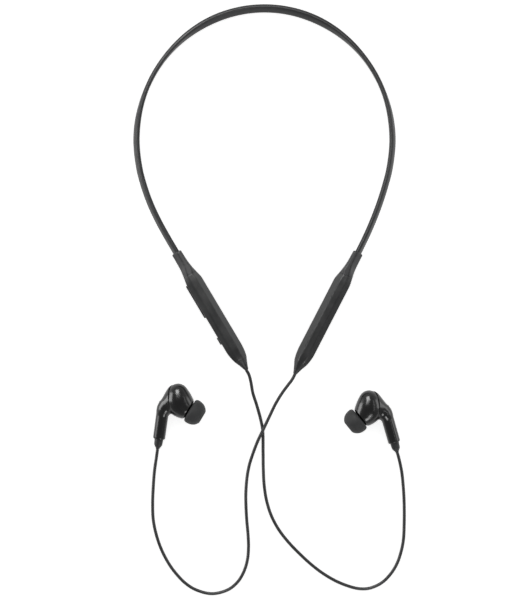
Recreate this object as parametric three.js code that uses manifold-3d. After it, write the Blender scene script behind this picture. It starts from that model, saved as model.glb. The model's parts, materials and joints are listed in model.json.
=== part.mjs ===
// Neckband earphones, lying flat with the band's loop open towards -Y.
// Millimetres, +Z up. The origin is on the surface they lie on, under the middle of the band, pods and
// earbuds. The control pod is at -X and the battery pod at +X. Each pod's cable crosses over to the other
// side's earbud.

import * as THREE from "three";
import { mergeVertices } from "three/addons/utils/BufferGeometryUtils.js";
import Module from "manifold-3d";

const wasm = await Module();
wasm.setup();

// ---------------------------------------------------------------- driving dimensions

const gap = 0.3; // clearance between neighbouring pieces
const wall = 1.0; // moulded shell thickness
const mouldSplit = 0.3; // parting gap between two shells of one casing
const cut = 0.5; // how far a cutting shape runs past the face it opens

// The neckband: a flat oval silicone strip bent to an ellipse, then run straight into each pod.
// endAngle: degrees past the sides
const loop = { x: -1, y: 44.5, radiusX: 63.85, radiusY: 65.85, endAngle: 12 };
const strip = { halfWidth: 1.2, halfHeight: 2.5 };
const stripBore = { wireHeight: 0.85, wireRadius: 0.65, cableHeight: -0.75, cableRadius: 0.7 };
const memoryWireRadius = 0.4;
const bandCableRadius = 0.5;
// Degrees that it leans at the nape and at the sides, and how far round from the nape it stands upright.
const bandLean = { nape: -36, sides: 22, upright: 58 };
const napeHeight = 2.3; // height of the strip's middle at the nape, where it rests

// The pods. Distances along a pod are measured from its band end.
const podHeight = 5; // height of a pod's middle
const podLength = 68;
const podHalf = { width: 4.3, height: 5 };
const controlPod = { x: -44.65, y: -11.35, turn: 30.7, inner: 1 };
const batteryPod = { x: 45.4, y: -11.4, turn: -27.3, inner: -1 };
const sleeveDepth = 8; // how far the strip runs into its boot

// Rows of distance along the pod, half width, half height and shift towards the inner side.
const bootStations = [
  [0, 2.35, 3.3, -0.4],
  [2, 2.6, 3.45, -0.38],
  [6, 2.72, 3.6, -0.35],
  [10, 3, 3.9, -0.2],
  [13, 3.5, 4.35, -0.1],
];
const casingStations = [
  [13.3, 3.6, 4.45, -0.1],
  [16.2, podHalf.width, podHalf.height, 0],
  [56, podHalf.width, podHalf.height, 0],
  [59, 4.05, 4.65, 0],
  [62.3, 3.3, 3.7, 0.1],
];
const cavityStations = [
  [14.3, 2.85, 3.7, 0],
  [16.2, podHalf.width - wall, podHalf.height - wall, 0],
  [56, podHalf.width - wall, podHalf.height - wall, 0],
  [61.3, 2.4, 2.8, 0.1],
];
const reliefStations = [
  [62.6, 3.15, 3.5, 0.1],
  [64.2, 2.35, 2.6, 0.1],
  [66, 1.4, 1.5, 0],
  [podLength, 0.87, 0.87, 0],
];

// Controls on the control pod's outer side, and the socket on the battery pod's outer side.
const keyHeight = 2.2;
const keyFlange = { overhang: 0.8, height: 3.4, outer: 2.8, inner: 2.2 }; // the last two count from the axis
const rocker = { along: 26.25, length: 18.5, proud: 0.75 };
const callKey = { along: 49, length: 4, proud: 0.65 };
const lightGuide = { along: 41, radius: 0.6, flangeRadius: 1.0 };
const microphonePort = { along: 55, radius: 0.5 };
const switchOffset = 7; // volume switches either side of the rocker's middle
const socket = { along: 22, length: 8.9, height: 3.16, depth: 6.6, metal: 0.3 };

// The cables.
const cableRadius = 0.8;
const cableSides = 8;
const cableSteps = 40;
const controlCableRoute = [
  [-10.04, -70.2, 5.0], [-8.8, -72.4, 4.85], [-7.9, -75.6, 4.4], [-6.8, -81.7, 3.0], [-5.0, -87.4, 1.7],
  [-2.9, -95, 0.9], [-1.9, -100.5, 0.85], [-1.7, -111.4, 0.85], [-1.6, -119.4, 0.85],
  [-1.2, -127.4, 0.85], [0, -135.3, 0.85], [2.4, -143, 0.85], [6.2, -150.1, 0.85], [11.1, -156.4, 0.85],
  [16.7, -162.2, 0.85], [22.6, -167.6, 0.85], [29, -172.4, 0.85], [36, -176.3, 0.85],
  [43.6, -179, 0.85], [47.7, -179.6, 0.85], [51.8, -179.2, 0.85], [57.5, -176.6, 0.85],
  [62, -172.2, 0.85], [65.2, -167, 0.85], [67.2, -161.2, 0.85], [68.4, -155.2, 0.85],
  [68.8, -147.2, 0.85], [68.8, -137.2, 0.85], [68.4, -129.2, 0.85], [67.6, -121.3, 0.85],
  [66.3, -115, 1.5], [65.34, -111.52, 2.12],
];
const batteryCableRoute = [
  [14.19, -72.2, 5.0], [12.8, -74.9, 4.9], [10.7, -77.7, 4.6], [7.5, -82.1, 4.0], [4.4, -87.3, 3.3],
  [1.8, -92.7, 2.85], [-1.9, -100.5, 2.6], [-4.3, -105.5, 2.3], [-6.5, -111.2, 1.7], [-8.4, -117, 1.1],
  [-9.6, -122.9, 0.85], [-10.3, -130.9, 0.85], [-10.3, -136.9, 0.85], [-9.9, -144.9, 0.85],
  [-9.2, -152.9, 0.85], [-9, -158.9, 0.85], [-9.5, -164.9, 0.85], [-11.2, -170.7, 0.85],
  [-14.3, -176, 0.85], [-19.2, -180, 0.85], [-27.3, -182, 0.85], [-35.4, -180, 0.85],
  [-40.6, -176.7, 0.85], [-44.9, -172.3, 0.85], [-48.5, -167.5, 0.85], [-52.3, -160.4, 0.85],
  [-55, -152.8, 0.85], [-56.6, -144.9, 0.85], [-56.9, -136.9, 0.85], [-56.6, -128.9, 0.85],
  [-56, -120.9, 0.85], [-54.92, -113.4, 1.5], [-54.43, -109.92, 2.12],
];

// The earbuds, drawn for the -X side about the middle of the head and mirrored for the +X side.
const leftBud = { x: -43.6, y: -85.9, turn: 0, mirror: 1 };
const rightBud = { x: 51.2, y: -89.3, turn: 8.2, mirror: -1 };
const budHeight = 6.5; // height of the head's middle
const budRoll = 9.5; // degrees about the nozzle's axis, so that the stem's end comes down to rest
const tipFall = 31; // degrees that the nozzle's axis falls below +X
const head = { long: 8, broad: 6.6, deep: 6.3, lean: 16 }; // half sizes, and the long axis's lean from +Y
const nozzleShift = -1; // the nozzle's axis, beside the head's middle
const nozzleRadius = 2.3;
const nozzleEnd = 12.6;
const nozzleBore = 1.6;
const seam = { turn: 13, rise: 28, offset: -1.45 }; // the plane between the front and rear shells
const stem = { top: [-7.7, -1.6], end: [-10.2, -18.75], topRadius: 3.05, endRadius: 2.9, bore: 1.4 };
const crown = { x: -0.4, y: 3.45, radius: 5.1 }; // the head's rounded top
const cheek = { x: -1.6, y: 3.3, radius: 4.8 }; // where the rear shell's slope towards the stem starts
const shoulder = { x: -7.1, y: -3.2, radius: 4 }; // the ball that joins the stem to the head
// The ball that the front shell swells to behind the ear tip, cut square where the tip starts.
const muzzle = { along: 4.2, radius: 5.6, end: 6.6 };

// Rows of distance along the nozzle's axis and radius.
const tipProfile = [
  [6.9, 4.7], [6.9, 5.25], [7.7, 6], [8.7, 6.2], [11, 5.85], [13, 4.85], [14, 3.7], [14.4, 2.7],
  [14.4, 2.1], [13.5, 2.1], [13.4, 2.6], [7.4, 2.6], [7.4, 3.2], [12.4, 3.2], [12.4, 4.4], [10.8, 5.2],
  [8.7, 5.6], [7.8, 5.4],
];

// ---------------------------------------------------------------- materials

const finish = (color, roughness, metalness = 0) => ({ color, roughness, metalness });
const finishes = {
  silicone: finish(0x3c3d3f, 0.6),
  shell: finish(0x2b2c2e, 0.45),
  key: finish(0x242527, 0.5),
  gloss: finish(0x111214, 0.12),
  tip: finish(0x333436, 0.75),
  cable: finish(0x2e2f31, 0.6),
  steel: finish(0xb9bcc0, 0.3, 1),
  copper: finish(0xb87333, 0.4, 1),
  board: finish(0x14532d, 0.5),
  chip: finish(0x18181a, 0.6),
  cell: finish(0x9aa3ad, 0.4, 0.6),
  lens: finish(0xe8ecef, 0.2),
  film: finish(0xd8c9a8, 0.3),
  mesh: finish(0x4a4b4d, 0.5, 0.8),
};

// ---------------------------------------------------------------- helpers

const degrees = THREE.MathUtils.degToRad;
const vector = (x, y, z = 0) => new THREE.Vector3(x, y, z);
const upward = vector(0, 0, 1);

// Makes a closed geometry into a solid that can be joined and cut.
function solid(geometry) {
  const bare = geometry.clone();
  bare.deleteAttribute("normal");
  bare.deleteAttribute("uv");
  const merged = mergeVertices(bare, 1e-4);
  const vertProperties = new Float32Array(merged.getAttribute("position").array);
  const triVerts = new Uint32Array(merged.index.array);
  return new wasm.Manifold(new wasm.Mesh({ numProp: 3, vertProperties, triVerts }));
}

// Makes a solid back into a geometry.
function geometryOf(body) {
  const { numProp, vertProperties, triVerts } = body.getMesh();
  const geometry = new THREE.BufferGeometry();
  geometry.setAttribute("position", new THREE.BufferAttribute(new Float32Array(vertProperties), numProp));
  geometry.setIndex(new THREE.BufferAttribute(new Uint32Array(triVerts), 1));
  geometry.computeVertexNormals();
  return geometry;
}

const joined = (...geometries) => geometryOf(geometries.map(solid).reduce((a, b) => a.add(b)));
const without = (geometry, ...cutters) =>
  geometryOf(cutters.map(solid).reduce((a, b) => a.subtract(b), solid(geometry)));
const shared = (a, b) => geometryOf(solid(a).intersect(solid(b)));

// Carries an outline from t = 0 to t = 1: place(t) gives the outline's middle there and its two axes.
function carried(outline, steps, place) {
  const geometry = new THREE.ExtrudeGeometry(outline, {
    depth: 1,
    steps,
    bevelEnabled: false,
    curveSegments: 4,
  });
  const position = geometry.getAttribute("position");
  for (let i = 0; i < position.count; i += 1) {
    const { middle, across, up } = place(position.getZ(i));
    const point = middle.clone();
    point.addScaledVector(across, position.getX(i)).addScaledVector(up, position.getY(i));
    position.setXYZ(i, point.x, point.y, point.z);
  }
  return geometry;
}

// The same surface with every face turned round.
function turnedInsideOut(geometry) {
  const position = geometry.getAttribute("position");
  for (let i = 0; i < position.count; i += 3) {
    const second = new THREE.Vector3().fromBufferAttribute(position, i + 1);
    const third = new THREE.Vector3().fromBufferAttribute(position, i + 2);
    position.setXYZ(i + 1, ...third);
    position.setXYZ(i + 2, ...second);
  }
  return geometry;
}

// The solid that just wraps several others.
function wrapped(...geometries) {
  return geometryOf(wasm.Manifold.hull(geometries.map(solid)));
}

// The range from minus half a size to plus half of it.
const halves = (size) => [-size / 2, size / 2];

// A box between two corners.
function box(low, high) {
  const size = high.map((value, i) => value - low[i]);
  const middle = high.map((value, i) => (value + low[i]) / 2);
  return new THREE.BoxGeometry(...size).translate(...middle);
}

// A turned solid about the line through start in the given direction, from rows of distance and radius.
function turned(profile, start, direction, sides = 24) {
  const points = profile.map(([along, radius]) => new THREE.Vector2(radius, along));
  const aim = new THREE.Quaternion().setFromUnitVectors(vector(0, 1, 0), direction);
  return new THREE.LatheGeometry(points, sides).applyQuaternion(aim).translate(start.x, start.y, start.z);
}

// A plain rod from one distance to another along the line through start.
const rod = (from, to, radius, start, direction, sides = 16) =>
  turned([[from, 0], [from, radius], [to, radius], [to, 0]], start, direction, sides);

// A turned ring whose section closes on itself.
const ring = (profile, start, direction, sides = 24) =>
  turned([...profile, profile[0]], start, direction, sides);

// An upright oval outline with round ends, or a lying one when it is wider than high.
function oval(halfWidth, halfHeight, Type = THREE.Shape) {
  const outline = new Type();
  const radius = Math.min(halfWidth, halfHeight);
  const up = halfHeight - radius;
  const side = halfWidth - radius;
  if (up > 0) {
    outline.absarc(0, up, radius, 0, Math.PI, false);
    outline.absarc(0, -up, radius, Math.PI, 2 * Math.PI, false);
  } else {
    outline.absarc(side, 0, radius, -Math.PI / 2, Math.PI / 2, false);
    outline.absarc(-side, 0, radius, Math.PI / 2, 1.5 * Math.PI, false);
  }
  outline.closePath();
  return outline;
}

const root = new THREE.Group();

function addPiece(group, name, geometry, look) {
  const mesh = new THREE.Mesh(geometry, new THREE.MeshStandardMaterial(finishes[look]));
  mesh.name = name;
  group.add(mesh);
}

// ---------------------------------------------------------------- neckband

const podDirection = (pod) => vector(Math.sin(degrees(pod.turn)), -Math.cos(degrees(pod.turn)));

// A point of the loop's ellipse, at an angle in degrees from +X.
function loopPoint(angle) {
  const turn = degrees(angle);
  return vector(loop.x + loop.radiusX * Math.cos(turn), loop.y + loop.radiusY * Math.sin(turn));
}

// The strip's middle line in plan: the ellipse, and at each end a curve that straightens into the pod.
function bandPlan() {
  const handle = 15.2;
  const endRun = (pod, side) => {
    const start = loopPoint(side > 0 ? -loop.endAngle : 180 + loop.endAngle);
    const end = vector(pod.x, pod.y);
    const away = vector(-side * Math.sin(degrees(loop.endAngle)), -Math.cos(degrees(loop.endAngle)));
    const run = new THREE.CubicBezierCurve3(
      start,
      start.clone().addScaledVector(away, handle),
      end.clone().addScaledVector(podDirection(pod), -handle),
      end,
    );
    const inside = end.clone().addScaledVector(podDirection(pod), sleeveDepth);
    return [...run.getPoints(5).slice(1), inside];
  };
  const arc = [];
  for (let angle = 180 + loop.endAngle; angle >= -loop.endAngle; angle -= 12) arc.push(loopPoint(angle));
  return new THREE.CatmullRomCurve3([...endRun(controlPod, -1).reverse(), ...arc, ...endRun(batteryPod, 1)]);
}

const bandCurve = bandPlan();

// The strip's place at t: its height falls from the pods' middle to the nape, and it leans as it goes round.
function bandPlace(t, lift = 0, stretch = 0) {
  const reach = stretch / bandCurve.getLength();
  const along = THREE.MathUtils.clamp(t, 0, 1) * (1 - 2 * reach) + reach;
  const middle = bandCurve.getPointAt(along);
  const tangent = bandCurve.getTangentAt(along);
  const fromNape = Math.abs(Math.atan2(middle.x - loop.x, middle.y - loop.y)) * THREE.MathUtils.RAD2DEG;
  const settle = THREE.MathUtils.smoothstep(fromNape, 10, 140);
  const { nape, sides, upright } = bandLean;
  const towardsNape = 1 - THREE.MathUtils.smoothstep(fromNape, 18, upright);
  const towardsSides = THREE.MathUtils.smoothstep(fromNape, upright, 88);
  const towardsPods = THREE.MathUtils.smoothstep(fromNape, 128, 142);
  const lean = nape * towardsNape + sides * towardsSides * (1 - towardsPods);
  middle.z = THREE.MathUtils.lerp(napeHeight, podHeight, settle);
  const up = upward.clone().applyAxisAngle(tangent, degrees(lean));
  const across = up.clone().cross(tangent);
  return { middle: middle.addScaledVector(up, lift), across, up };
}

function addNeckband(group) {
  const steps = 36;
  const outline = oval(strip.halfWidth, strip.halfHeight);
  const { wireHeight, wireRadius, cableHeight, cableRadius: boreRadius } = stripBore;
  const boreFor = (height, radius) => new THREE.Path().absarc(0, height, radius, 0, 2 * Math.PI, true);
  outline.holes.push(boreFor(wireHeight, wireRadius), boreFor(cableHeight, boreRadius));
  addPiece(group, "neckband_sleeve", carried(outline, steps, (t) => bandPlace(t)), "silicone");

  const core = (radius) => new THREE.Shape().absarc(0, 0, radius, 0, 2 * Math.PI, false);
  const shortened = 0.6; // the wire and cable stop just inside the sleeve's ends
  const run = (radius, height) => carried(core(radius), steps, (t) => bandPlace(t, height, shortened));
  addPiece(group, "memory_wire", run(memoryWireRadius, wireHeight), "steel");
  addPiece(group, "neckband_cable", run(bandCableRadius, cableHeight), "copper");
}

// ---------------------------------------------------------------- pods

// A pod's section in half widths and half heights, with its inner side at +x: flat on top and bottom, with a
// steep bevel inside, a shallow one outside and equal ones below.
const podSection = new THREE.Shape(
  [[1, -0.34], [1, 0.28], [0.41, 1], [-0.43, 1], [-1, 0.68], [-1, -0.34], [-0.42, -1], [0.42, -1]].map(
    ([x, y]) => new THREE.Vector2(x, y),
  ),
);

// A solid with the pod's section that takes each station's size in turn. The mirrored one is made from the
// other by swapping each face's corners, so that it still faces out.
function podLoft(pod, stations) {
  const last = stations.length - 1;
  const loft = carried(podSection, last, (t) => {
    const [along, halfWidth, halfHeight, shift] = stations[Math.round(t * last)];
    return {
      middle: vector(pod.inner * shift, -along, podHeight),
      across: vector(pod.inner * halfWidth, 0),
      up: vector(0, 0, halfHeight),
    };
  });
  return pod.inner > 0 ? loft : turnedInsideOut(loft);
}

const podAxis = vector(0, -1, 0);
const podRod = (from, to, radius) => rod(from, to, radius, vector(0, 0, podHeight), podAxis);

// A box in a pod: x counts outwards from the axis on the pod's outer side, y along it, z up from its middle.
function podBox(pod, [nearX, farX], [fromAlong, toAlong], [lowZ, highZ]) {
  const xs = [-pod.inner * nearX, -pod.inner * farX].sort((a, b) => a - b);
  return box([xs[0], -toAlong, podHeight + lowZ], [xs[1], -fromAlong, podHeight + highZ]);
}

const outwards = (pod) => vector(-pod.inner, 0, 0);
const podPoint = (along, z = 0) => vector(0, -along, podHeight + z);

// The two halves of a casing, with the given windows cut through both.
function addCasing(group, name, pod, windows) {
  const neckHole = podRod(casingStations[0][0] - cut, 14.3 + cut, 2.25);
  const cableHole = podRod(61.3 - cut, 62.3 + cut, 1.5);
  const outside = podLoft(pod, casingStations);
  const shell = without(outside, podLoft(pod, cavityStations), neckHole, cableHole, ...windows);
  const half = (low, high) => box([-10, -80, podHeight + low], [10, 10, podHeight + high]);
  addPiece(group, `${name}_top_cover`, shared(shell, half(mouldSplit / 2, 20)), "shell");
  addPiece(group, `${name}_bottom_cover`, shared(shell, half(-20, -mouldSplit / 2)), "shell");
}

// The soft boot over the strip's end: a tapered block with a flange that the covers trap.
function addBoot(group, name, pod) {
  const slot = (halfWidth, halfHeight, from, to) =>
    carried(oval(halfWidth, halfHeight), 1, (t) => ({
      middle: podPoint(THREE.MathUtils.lerp(from, to, t)),
      across: vector(1, 0),
      up: upward.clone(),
    }));
  const block = joined(podLoft(pod, bootStations), podRod(12.8, 15, 1.95), podRod(14.6, 15.5, 2.45));
  const pocket = slot(strip.halfWidth + gap, strip.halfHeight + gap, -cut, sleeveDepth + gap);
  const leadWay = slot(0.75, 1.5, sleeveDepth, 16);
  addPiece(group, `${name}_band_boot`, without(block, pocket, leadWay), "silicone");
}

// The anchor crimped on the memory wire's end, inside the boot's lead way.
function addAnchor(group, name) {
  const from = sleeveDepth + 0.5;
  const anchor = rod(from, from + 4, 0.55, podPoint(0, stripBore.wireHeight - 0.1), podAxis, 12);
  addPiece(group, `${name}_wire_anchor`, anchor, "steel");
}

function addCableRelief(group, name, pod) {
  const body = joined(podLoft(pod, reliefStations), podRod(60.6, 62.8, 1.2), podRod(60.1, 61, 1.9));
  addPiece(group, `${name}_cable_relief`, body, "silicone");
}

// A key: its cap through the window, a flange behind the wall, and a rib in the middle if it rocks.
function keyBody(pod, { along, length, proud }, rib) {
  const half = length / 2;
  const flangeHalf = half + keyFlange.overhang;
  const capDepth = [keyFlange.inner + 0.1, podHalf.width + proud];
  const cap = podBox(pod, capDepth, [along - half, along + half], halves(keyHeight));
  const flange = podBox(
    pod,
    [keyFlange.inner, keyFlange.outer],
    [along - flangeHalf, along + flangeHalf],
    halves(keyFlange.height),
  );
  const fulcrumDepth = [keyFlange.inner - 0.3, keyFlange.inner + 0.1];
  const fulcrum = podBox(pod, fulcrumDepth, [along - 0.4, along + 0.4], halves(keyHeight));
  return rib ? joined(cap, flange, fulcrum) : joined(cap, flange);
}

// A side-push switch on the board, with its plunger towards the key.
function addSwitch(group, name, pod, along) {
  const bodySize = { face: 1.6, depth: 1.8, length: 3.2 };
  const body = podBox(
    pod,
    [bodySize.face, bodySize.face - bodySize.depth],
    [along - bodySize.length / 2, along + bodySize.length / 2],
    [-1, 1],
  );
  const plunger = rod(bodySize.face - 0.2, bodySize.face + 0.3, 0.6, podPoint(along), outwards(pod), 12);
  addPiece(group, name, joined(body, plunger), "steel");
}

function addControlPod(group) {
  const pod = controlPod;
  const windowFor = ({ along, length }) =>
    podBox(
      pod,
      [podHalf.width - wall - cut, podHalf.width + cut],
      [along - length / 2 - gap, along + length / 2 + gap],
      halves(keyHeight + 2 * gap),
    );
  const sideHole = (along, radius) =>
    rod(podHalf.width - wall - cut, podHalf.width + cut, radius, podPoint(along), outwards(pod), 12);
  addCasing(group, "control_pod", pod, [
    windowFor(rocker),
    windowFor(callKey),
    sideHole(lightGuide.along, lightGuide.radius + gap),
    sideHole(microphonePort.along, microphonePort.radius),
  ]);
  addBoot(group, "control_pod", pod);
  addAnchor(group, "control_pod");
  addCableRelief(group, "control_pod", pod);
  addPiece(group, "volume_rocker", keyBody(pod, rocker, true), "key");
  addPiece(group, "call_button", keyBody(pod, callKey, false), "key");
  addSwitch(group, "volume_up_switch", pod, rocker.along - switchOffset);
  addSwitch(group, "volume_down_switch", pod, rocker.along + switchOffset);
  addSwitch(group, "call_switch", pod, callKey.along);

  const guide = turned(
    [[1.8, 0], [1.8, lightGuide.flangeRadius], [2.6, lightGuide.flangeRadius], [2.6, lightGuide.radius],
      [podHalf.width, lightGuide.radius], [podHalf.width, 0]],
    podPoint(lightGuide.along),
    outwards(pod),
    12,
  );
  addPiece(group, "status_light_guide", guide, "lens");
  const onBoard = -1.2 + 0.2;
  addPiece(group, "control_board", podBox(pod, [1.6, -2.4], [17.5, 58], [-2, -1.2]), "board");
  addPiece(group, "status_led", podBox(pod, [1.5, 0.7], [40.2, 41.8], [onBoard, 0.4]), "lens");
  addPiece(group, "bluetooth_chip", podBox(pod, [0.2, -2.2], [36, 39.5], [onBoard, -0.1]), "chip");
  addPiece(group, "chip_antenna", podBox(pod, [-0.8, -2.2], [19, 24], [onBoard, 0]), "film");
  addPiece(group, "microphone", podBox(pod, [1.5, -0.3], [53.6, 56.4], [onBoard, 0]), "steel");
}

// The charging socket: a drawn steel shell, open outwards, with the contact tongue held on a block at its
// back.
function addSocket(group, pod) {
  const face = podHalf.width - 0.1;
  const tube = (halfLength, halfHeight, hole) => {
    const outline = oval(halfLength, halfHeight);
    if (hole) outline.holes.push(oval(halfLength - socket.metal, halfHeight - socket.metal, THREE.Path));
    return outline;
  };
  const inwards = (outline, from, to) =>
    carried(outline, 1, (t) => ({
      middle: podPoint(socket.along).addScaledVector(outwards(pod), THREE.MathUtils.lerp(from, to, t)),
      across: vector(0, -pod.inner, 0),
      up: upward.clone(),
    }));
  const halfLength = socket.length / 2;
  const halfHeight = socket.height / 2;
  const back = face - socket.depth;
  addPiece(group, "usb_socket_shell", inwards(tube(halfLength, halfHeight, true), back, face), "steel");
  const inset = socket.metal + 0.15;
  const blockDepth = 1.6;
  const block = inwards(tube(halfLength - inset, halfHeight - inset, false), back, back + blockDepth);
  const tongue = podBox(pod, [back + 0.5, face - 0.8], [socket.along - 3.3, socket.along + 3.3], halves(0.7));
  addPiece(group, "usb_socket_tongue", joined(block, tongue), "chip");
}

function addBatteryPod(group) {
  const pod = batteryPod;
  const opening = podBox(
    pod,
    [podHalf.width - wall - cut, podHalf.width + cut],
    [socket.along - socket.length / 2 - gap, socket.along + socket.length / 2 + gap],
    halves(socket.height + 2 * gap),
  );
  addCasing(group, "battery_pod", pod, [opening]);
  addBoot(group, "battery_pod", pod);
  addAnchor(group, "battery_pod");
  addCableRelief(group, "battery_pod", pod);
  addSocket(group, pod);
  addPiece(group, "charging_board", podBox(pod, [2.1, -2.1], [17, 27.4], [-2.7, -1.9]), "board");
  addPiece(group, "charging_chip", podBox(pod, [1, -1], [18.5, 20.5], [-3.7, -2.9]), "chip");
  const cellOutline = oval(2.2, 3.2);
  const cell = carried(cellOutline, 1, (t) => ({
    middle: podPoint(THREE.MathUtils.lerp(28.5, 57, t)),
    across: vector(1, 0),
    up: upward.clone(),
  }));
  addPiece(group, "battery_cell", cell, "cell");
}

// ---------------------------------------------------------------- earbuds

const tipAxis = vector(Math.cos(degrees(tipFall)), -Math.sin(degrees(tipFall)));
const tipSide = vector(Math.sin(degrees(tipFall)), Math.cos(degrees(tipFall)));
const nozzleStart = tipSide.clone().multiplyScalar(nozzleShift);
const stemTop = vector(...stem.top);
const stemEnd = vector(...stem.end);
const stemAxis = stemEnd.clone().sub(stemTop).normalize();
const stemLength = stemEnd.distanceTo(stemTop);

// The head: an egg shape, smaller by the inset all round.
function headEgg(inset) {
  const egg = new THREE.SphereGeometry(1, 20, 12);
  egg.scale(head.broad - inset, head.long - inset, head.deep - inset);
  return egg.rotateZ(degrees(head.lean));
}

// The half of space in front of the seam or behind it, as a large box.
function seamSide(front) {
  const size = 60;
  const normal = vector(
    Math.cos(degrees(seam.rise)) * Math.cos(degrees(seam.turn)),
    Math.cos(degrees(seam.rise)) * Math.sin(degrees(seam.turn)),
    Math.sin(degrees(seam.rise)),
  );
  const side = front ? 1 : -1;
  const distance = seam.offset + (side * mouldSplit) / 2;
  const half = new THREE.BoxGeometry(size, size, size).translate(0, (side * size) / 2, 0);
  half.applyQuaternion(new THREE.Quaternion().setFromUnitVectors(vector(0, 1, 0), normal));
  return half.translate(normal.x * distance, normal.y * distance, normal.z * distance);
}

function addEarbud(group, name) {
  const fromNozzle = (profile, sides) => turned(profile, nozzleStart, tipAxis, sides);
  const fromStem = (profile, sides) => turned(profile, stemTop, stemAxis, sides);

  const ball = ({ x, y, radius }) => new THREE.SphereGeometry(radius, 16, 10).translate(x, y, 0);
  const muzzleMiddle = nozzleStart.clone().addScaledVector(tipAxis, muzzle.along);
  const muzzleBall = ball({ x: muzzleMiddle.x, y: muzzleMiddle.y, radius: muzzle.radius });
  const behindTip = rod(-20, muzzle.end, 20, nozzleStart, tipAxis, 12);
  const snout = shared(wrapped(ball(crown), muzzleBall), behindTip);
  const nozzle = rod(4, nozzleEnd, nozzleRadius, nozzleStart, tipAxis, 20);
  const soundWay = rod(3, nozzleEnd + cut, nozzleBore, nozzleStart, tipAxis, 16);
  const frontBlock = shared(joined(headEgg(0), snout), seamSide(true));
  const frontShell = without(joined(frontBlock, nozzle), headEgg(wall), soundWay);
  addPiece(group, `${name}_front_shell`, frontShell, "gloss");

  const slope = shared(wrapped(ball(cheek), ball(shoulder)), seamSide(false));
  const stemTube = fromStem([[0, 0], [0, stem.topRadius], [stemLength, stem.endRadius], [stemLength, 0]], 16);
  const stemBody = joined(slope, stemTube);
  const leadWay = rod(-0.5, stemLength + cut, stem.bore, stemTop, stemAxis, 12);
  const ventAxis = vector(-0.83, 0.55, -0.08).normalize();
  const vent = rod(3, 10, 0.6, vector(0, 0), ventAxis, 10);
  const headSlice = shared(headEgg(0), seamSide(false));
  const stemOutside = without(stemBody, shared(headEgg(-mouldSplit), seamSide(true)));
  addPiece(
    group,
    `${name}_rear_shell`,
    without(joined(headSlice, stemOutside), headEgg(wall), leadWay, vent),
    "gloss",
  );
  const meshAt = headWallDistance(ventAxis) - wall - gap;
  const ventMesh = rod(meshAt - 0.5, meshAt - 0.2, 1.1, vector(0, 0), ventAxis, 12);
  addPiece(group, `${name}_vent_mesh`, ventMesh, "mesh");

  const nozzleMesh = rod(nozzleEnd + gap, nozzleEnd + gap + 0.3, 1.9, nozzleStart, tipAxis, 16);
  addPiece(group, `${name}_nozzle_mesh`, nozzleMesh, "mesh");
  addPiece(group, `${name}_ear_tip`, ring(tipProfile, nozzleStart, tipAxis, 20), "tip");
  const frame = [[-0.2, 3.3], [-0.2, 3.6], [0.4, 4.2], [3, 4.2], [3, 3.85], [0.9, 3.85], [0.6, 3.3]];
  addPiece(group, `${name}_driver_frame`, ring(frame, nozzleStart, tipAxis, 20), "chip");
  addPiece(group, `${name}_driver_magnet`, rod(-2.2, 1, 3, nozzleStart, tipAxis, 20), "steel");
  const diaphragm = [[1.9, 0], [1.9, 2], [1.4, 3.5], [1.7, 3.5], [2.2, 2], [2.2, 0]];
  addPiece(group, `${name}_driver_diaphragm`, fromNozzle(diaphragm, 20), "film");

  const relief = [
    [-4, 0], [-4, 1.1], [gap, 1.1], [gap, 2.05], [3.3, 1.92], [4.5, 1.35], [5.4, 0.86], [5.4, 0],
  ];
  const reliefBody = turned(relief, stemEnd, stemAxis, 16);
  addPiece(group, `${name}_cable_relief`, reliefBody, "silicone");
}

// The distance from the head's middle to its surface in a direction.
function headWallDistance(direction) {
  const turnedBack = direction.clone().applyAxisAngle(upward, -degrees(head.lean));
  const { x, y, z } = turnedBack;
  return 1 / Math.hypot(x / head.broad, y / head.long, z / head.deep);
}

// ---------------------------------------------------------------- cables

function addCable(group, name, route) {
  const path = new THREE.CatmullRomCurve3(route.map((point) => vector(...point)), false, "centripetal");
  const section = new THREE.Shape();
  for (let i = 0; i < cableSides; i += 1) {
    const turn = (2 * Math.PI * i) / cableSides;
    const corner = [cableRadius * Math.cos(turn), cableRadius * Math.sin(turn)];
    if (i === 0) section.moveTo(...corner);
    else section.lineTo(...corner);
  }
  const geometry = new THREE.ExtrudeGeometry(section, {
    steps: cableSteps,
    extrudePath: path,
    bevelEnabled: false,
  });
  addPiece(group, name, geometry, "cable");
}

// ---------------------------------------------------------------- assembly

addNeckband(root);

for (const [pod, fill] of [[controlPod, addControlPod], [batteryPod, addBatteryPod]]) {
  const group = new THREE.Group();
  group.position.set(pod.x, pod.y, 0);
  group.rotation.z = degrees(pod.turn);
  fill(group);
  root.add(group);
}

for (const [bud, name] of [[leftBud, "left_bud"], [rightBud, "right_bud"]]) {
  const placed = new THREE.Group();
  placed.position.set(bud.x, bud.y, budHeight);
  placed.rotation.z = degrees(bud.turn);
  placed.scale.x = bud.mirror;
  const rolled = new THREE.Group();
  rolled.quaternion.setFromAxisAngle(tipAxis, degrees(budRoll));
  addEarbud(rolled, name);
  placed.add(rolled);
  root.add(placed);
}

addCable(root, "control_pod_cable", controlCableRoute);
addCable(root, "battery_pod_cable", batteryCableRoute);

export default root;
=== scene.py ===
"""Neckband earphones lying on a pale table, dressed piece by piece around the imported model.

Lengths in the geometry code are millimetres and become metres when a mesh is made. Each sub-assembly is a
class with its sizes as fields, each finish is a frozen dataclass, and numpy works out every new surface.
"""

import json
import logging
import math
from collections.abc import Callable
from dataclasses import dataclass, field, replace
from enum import Enum

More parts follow.
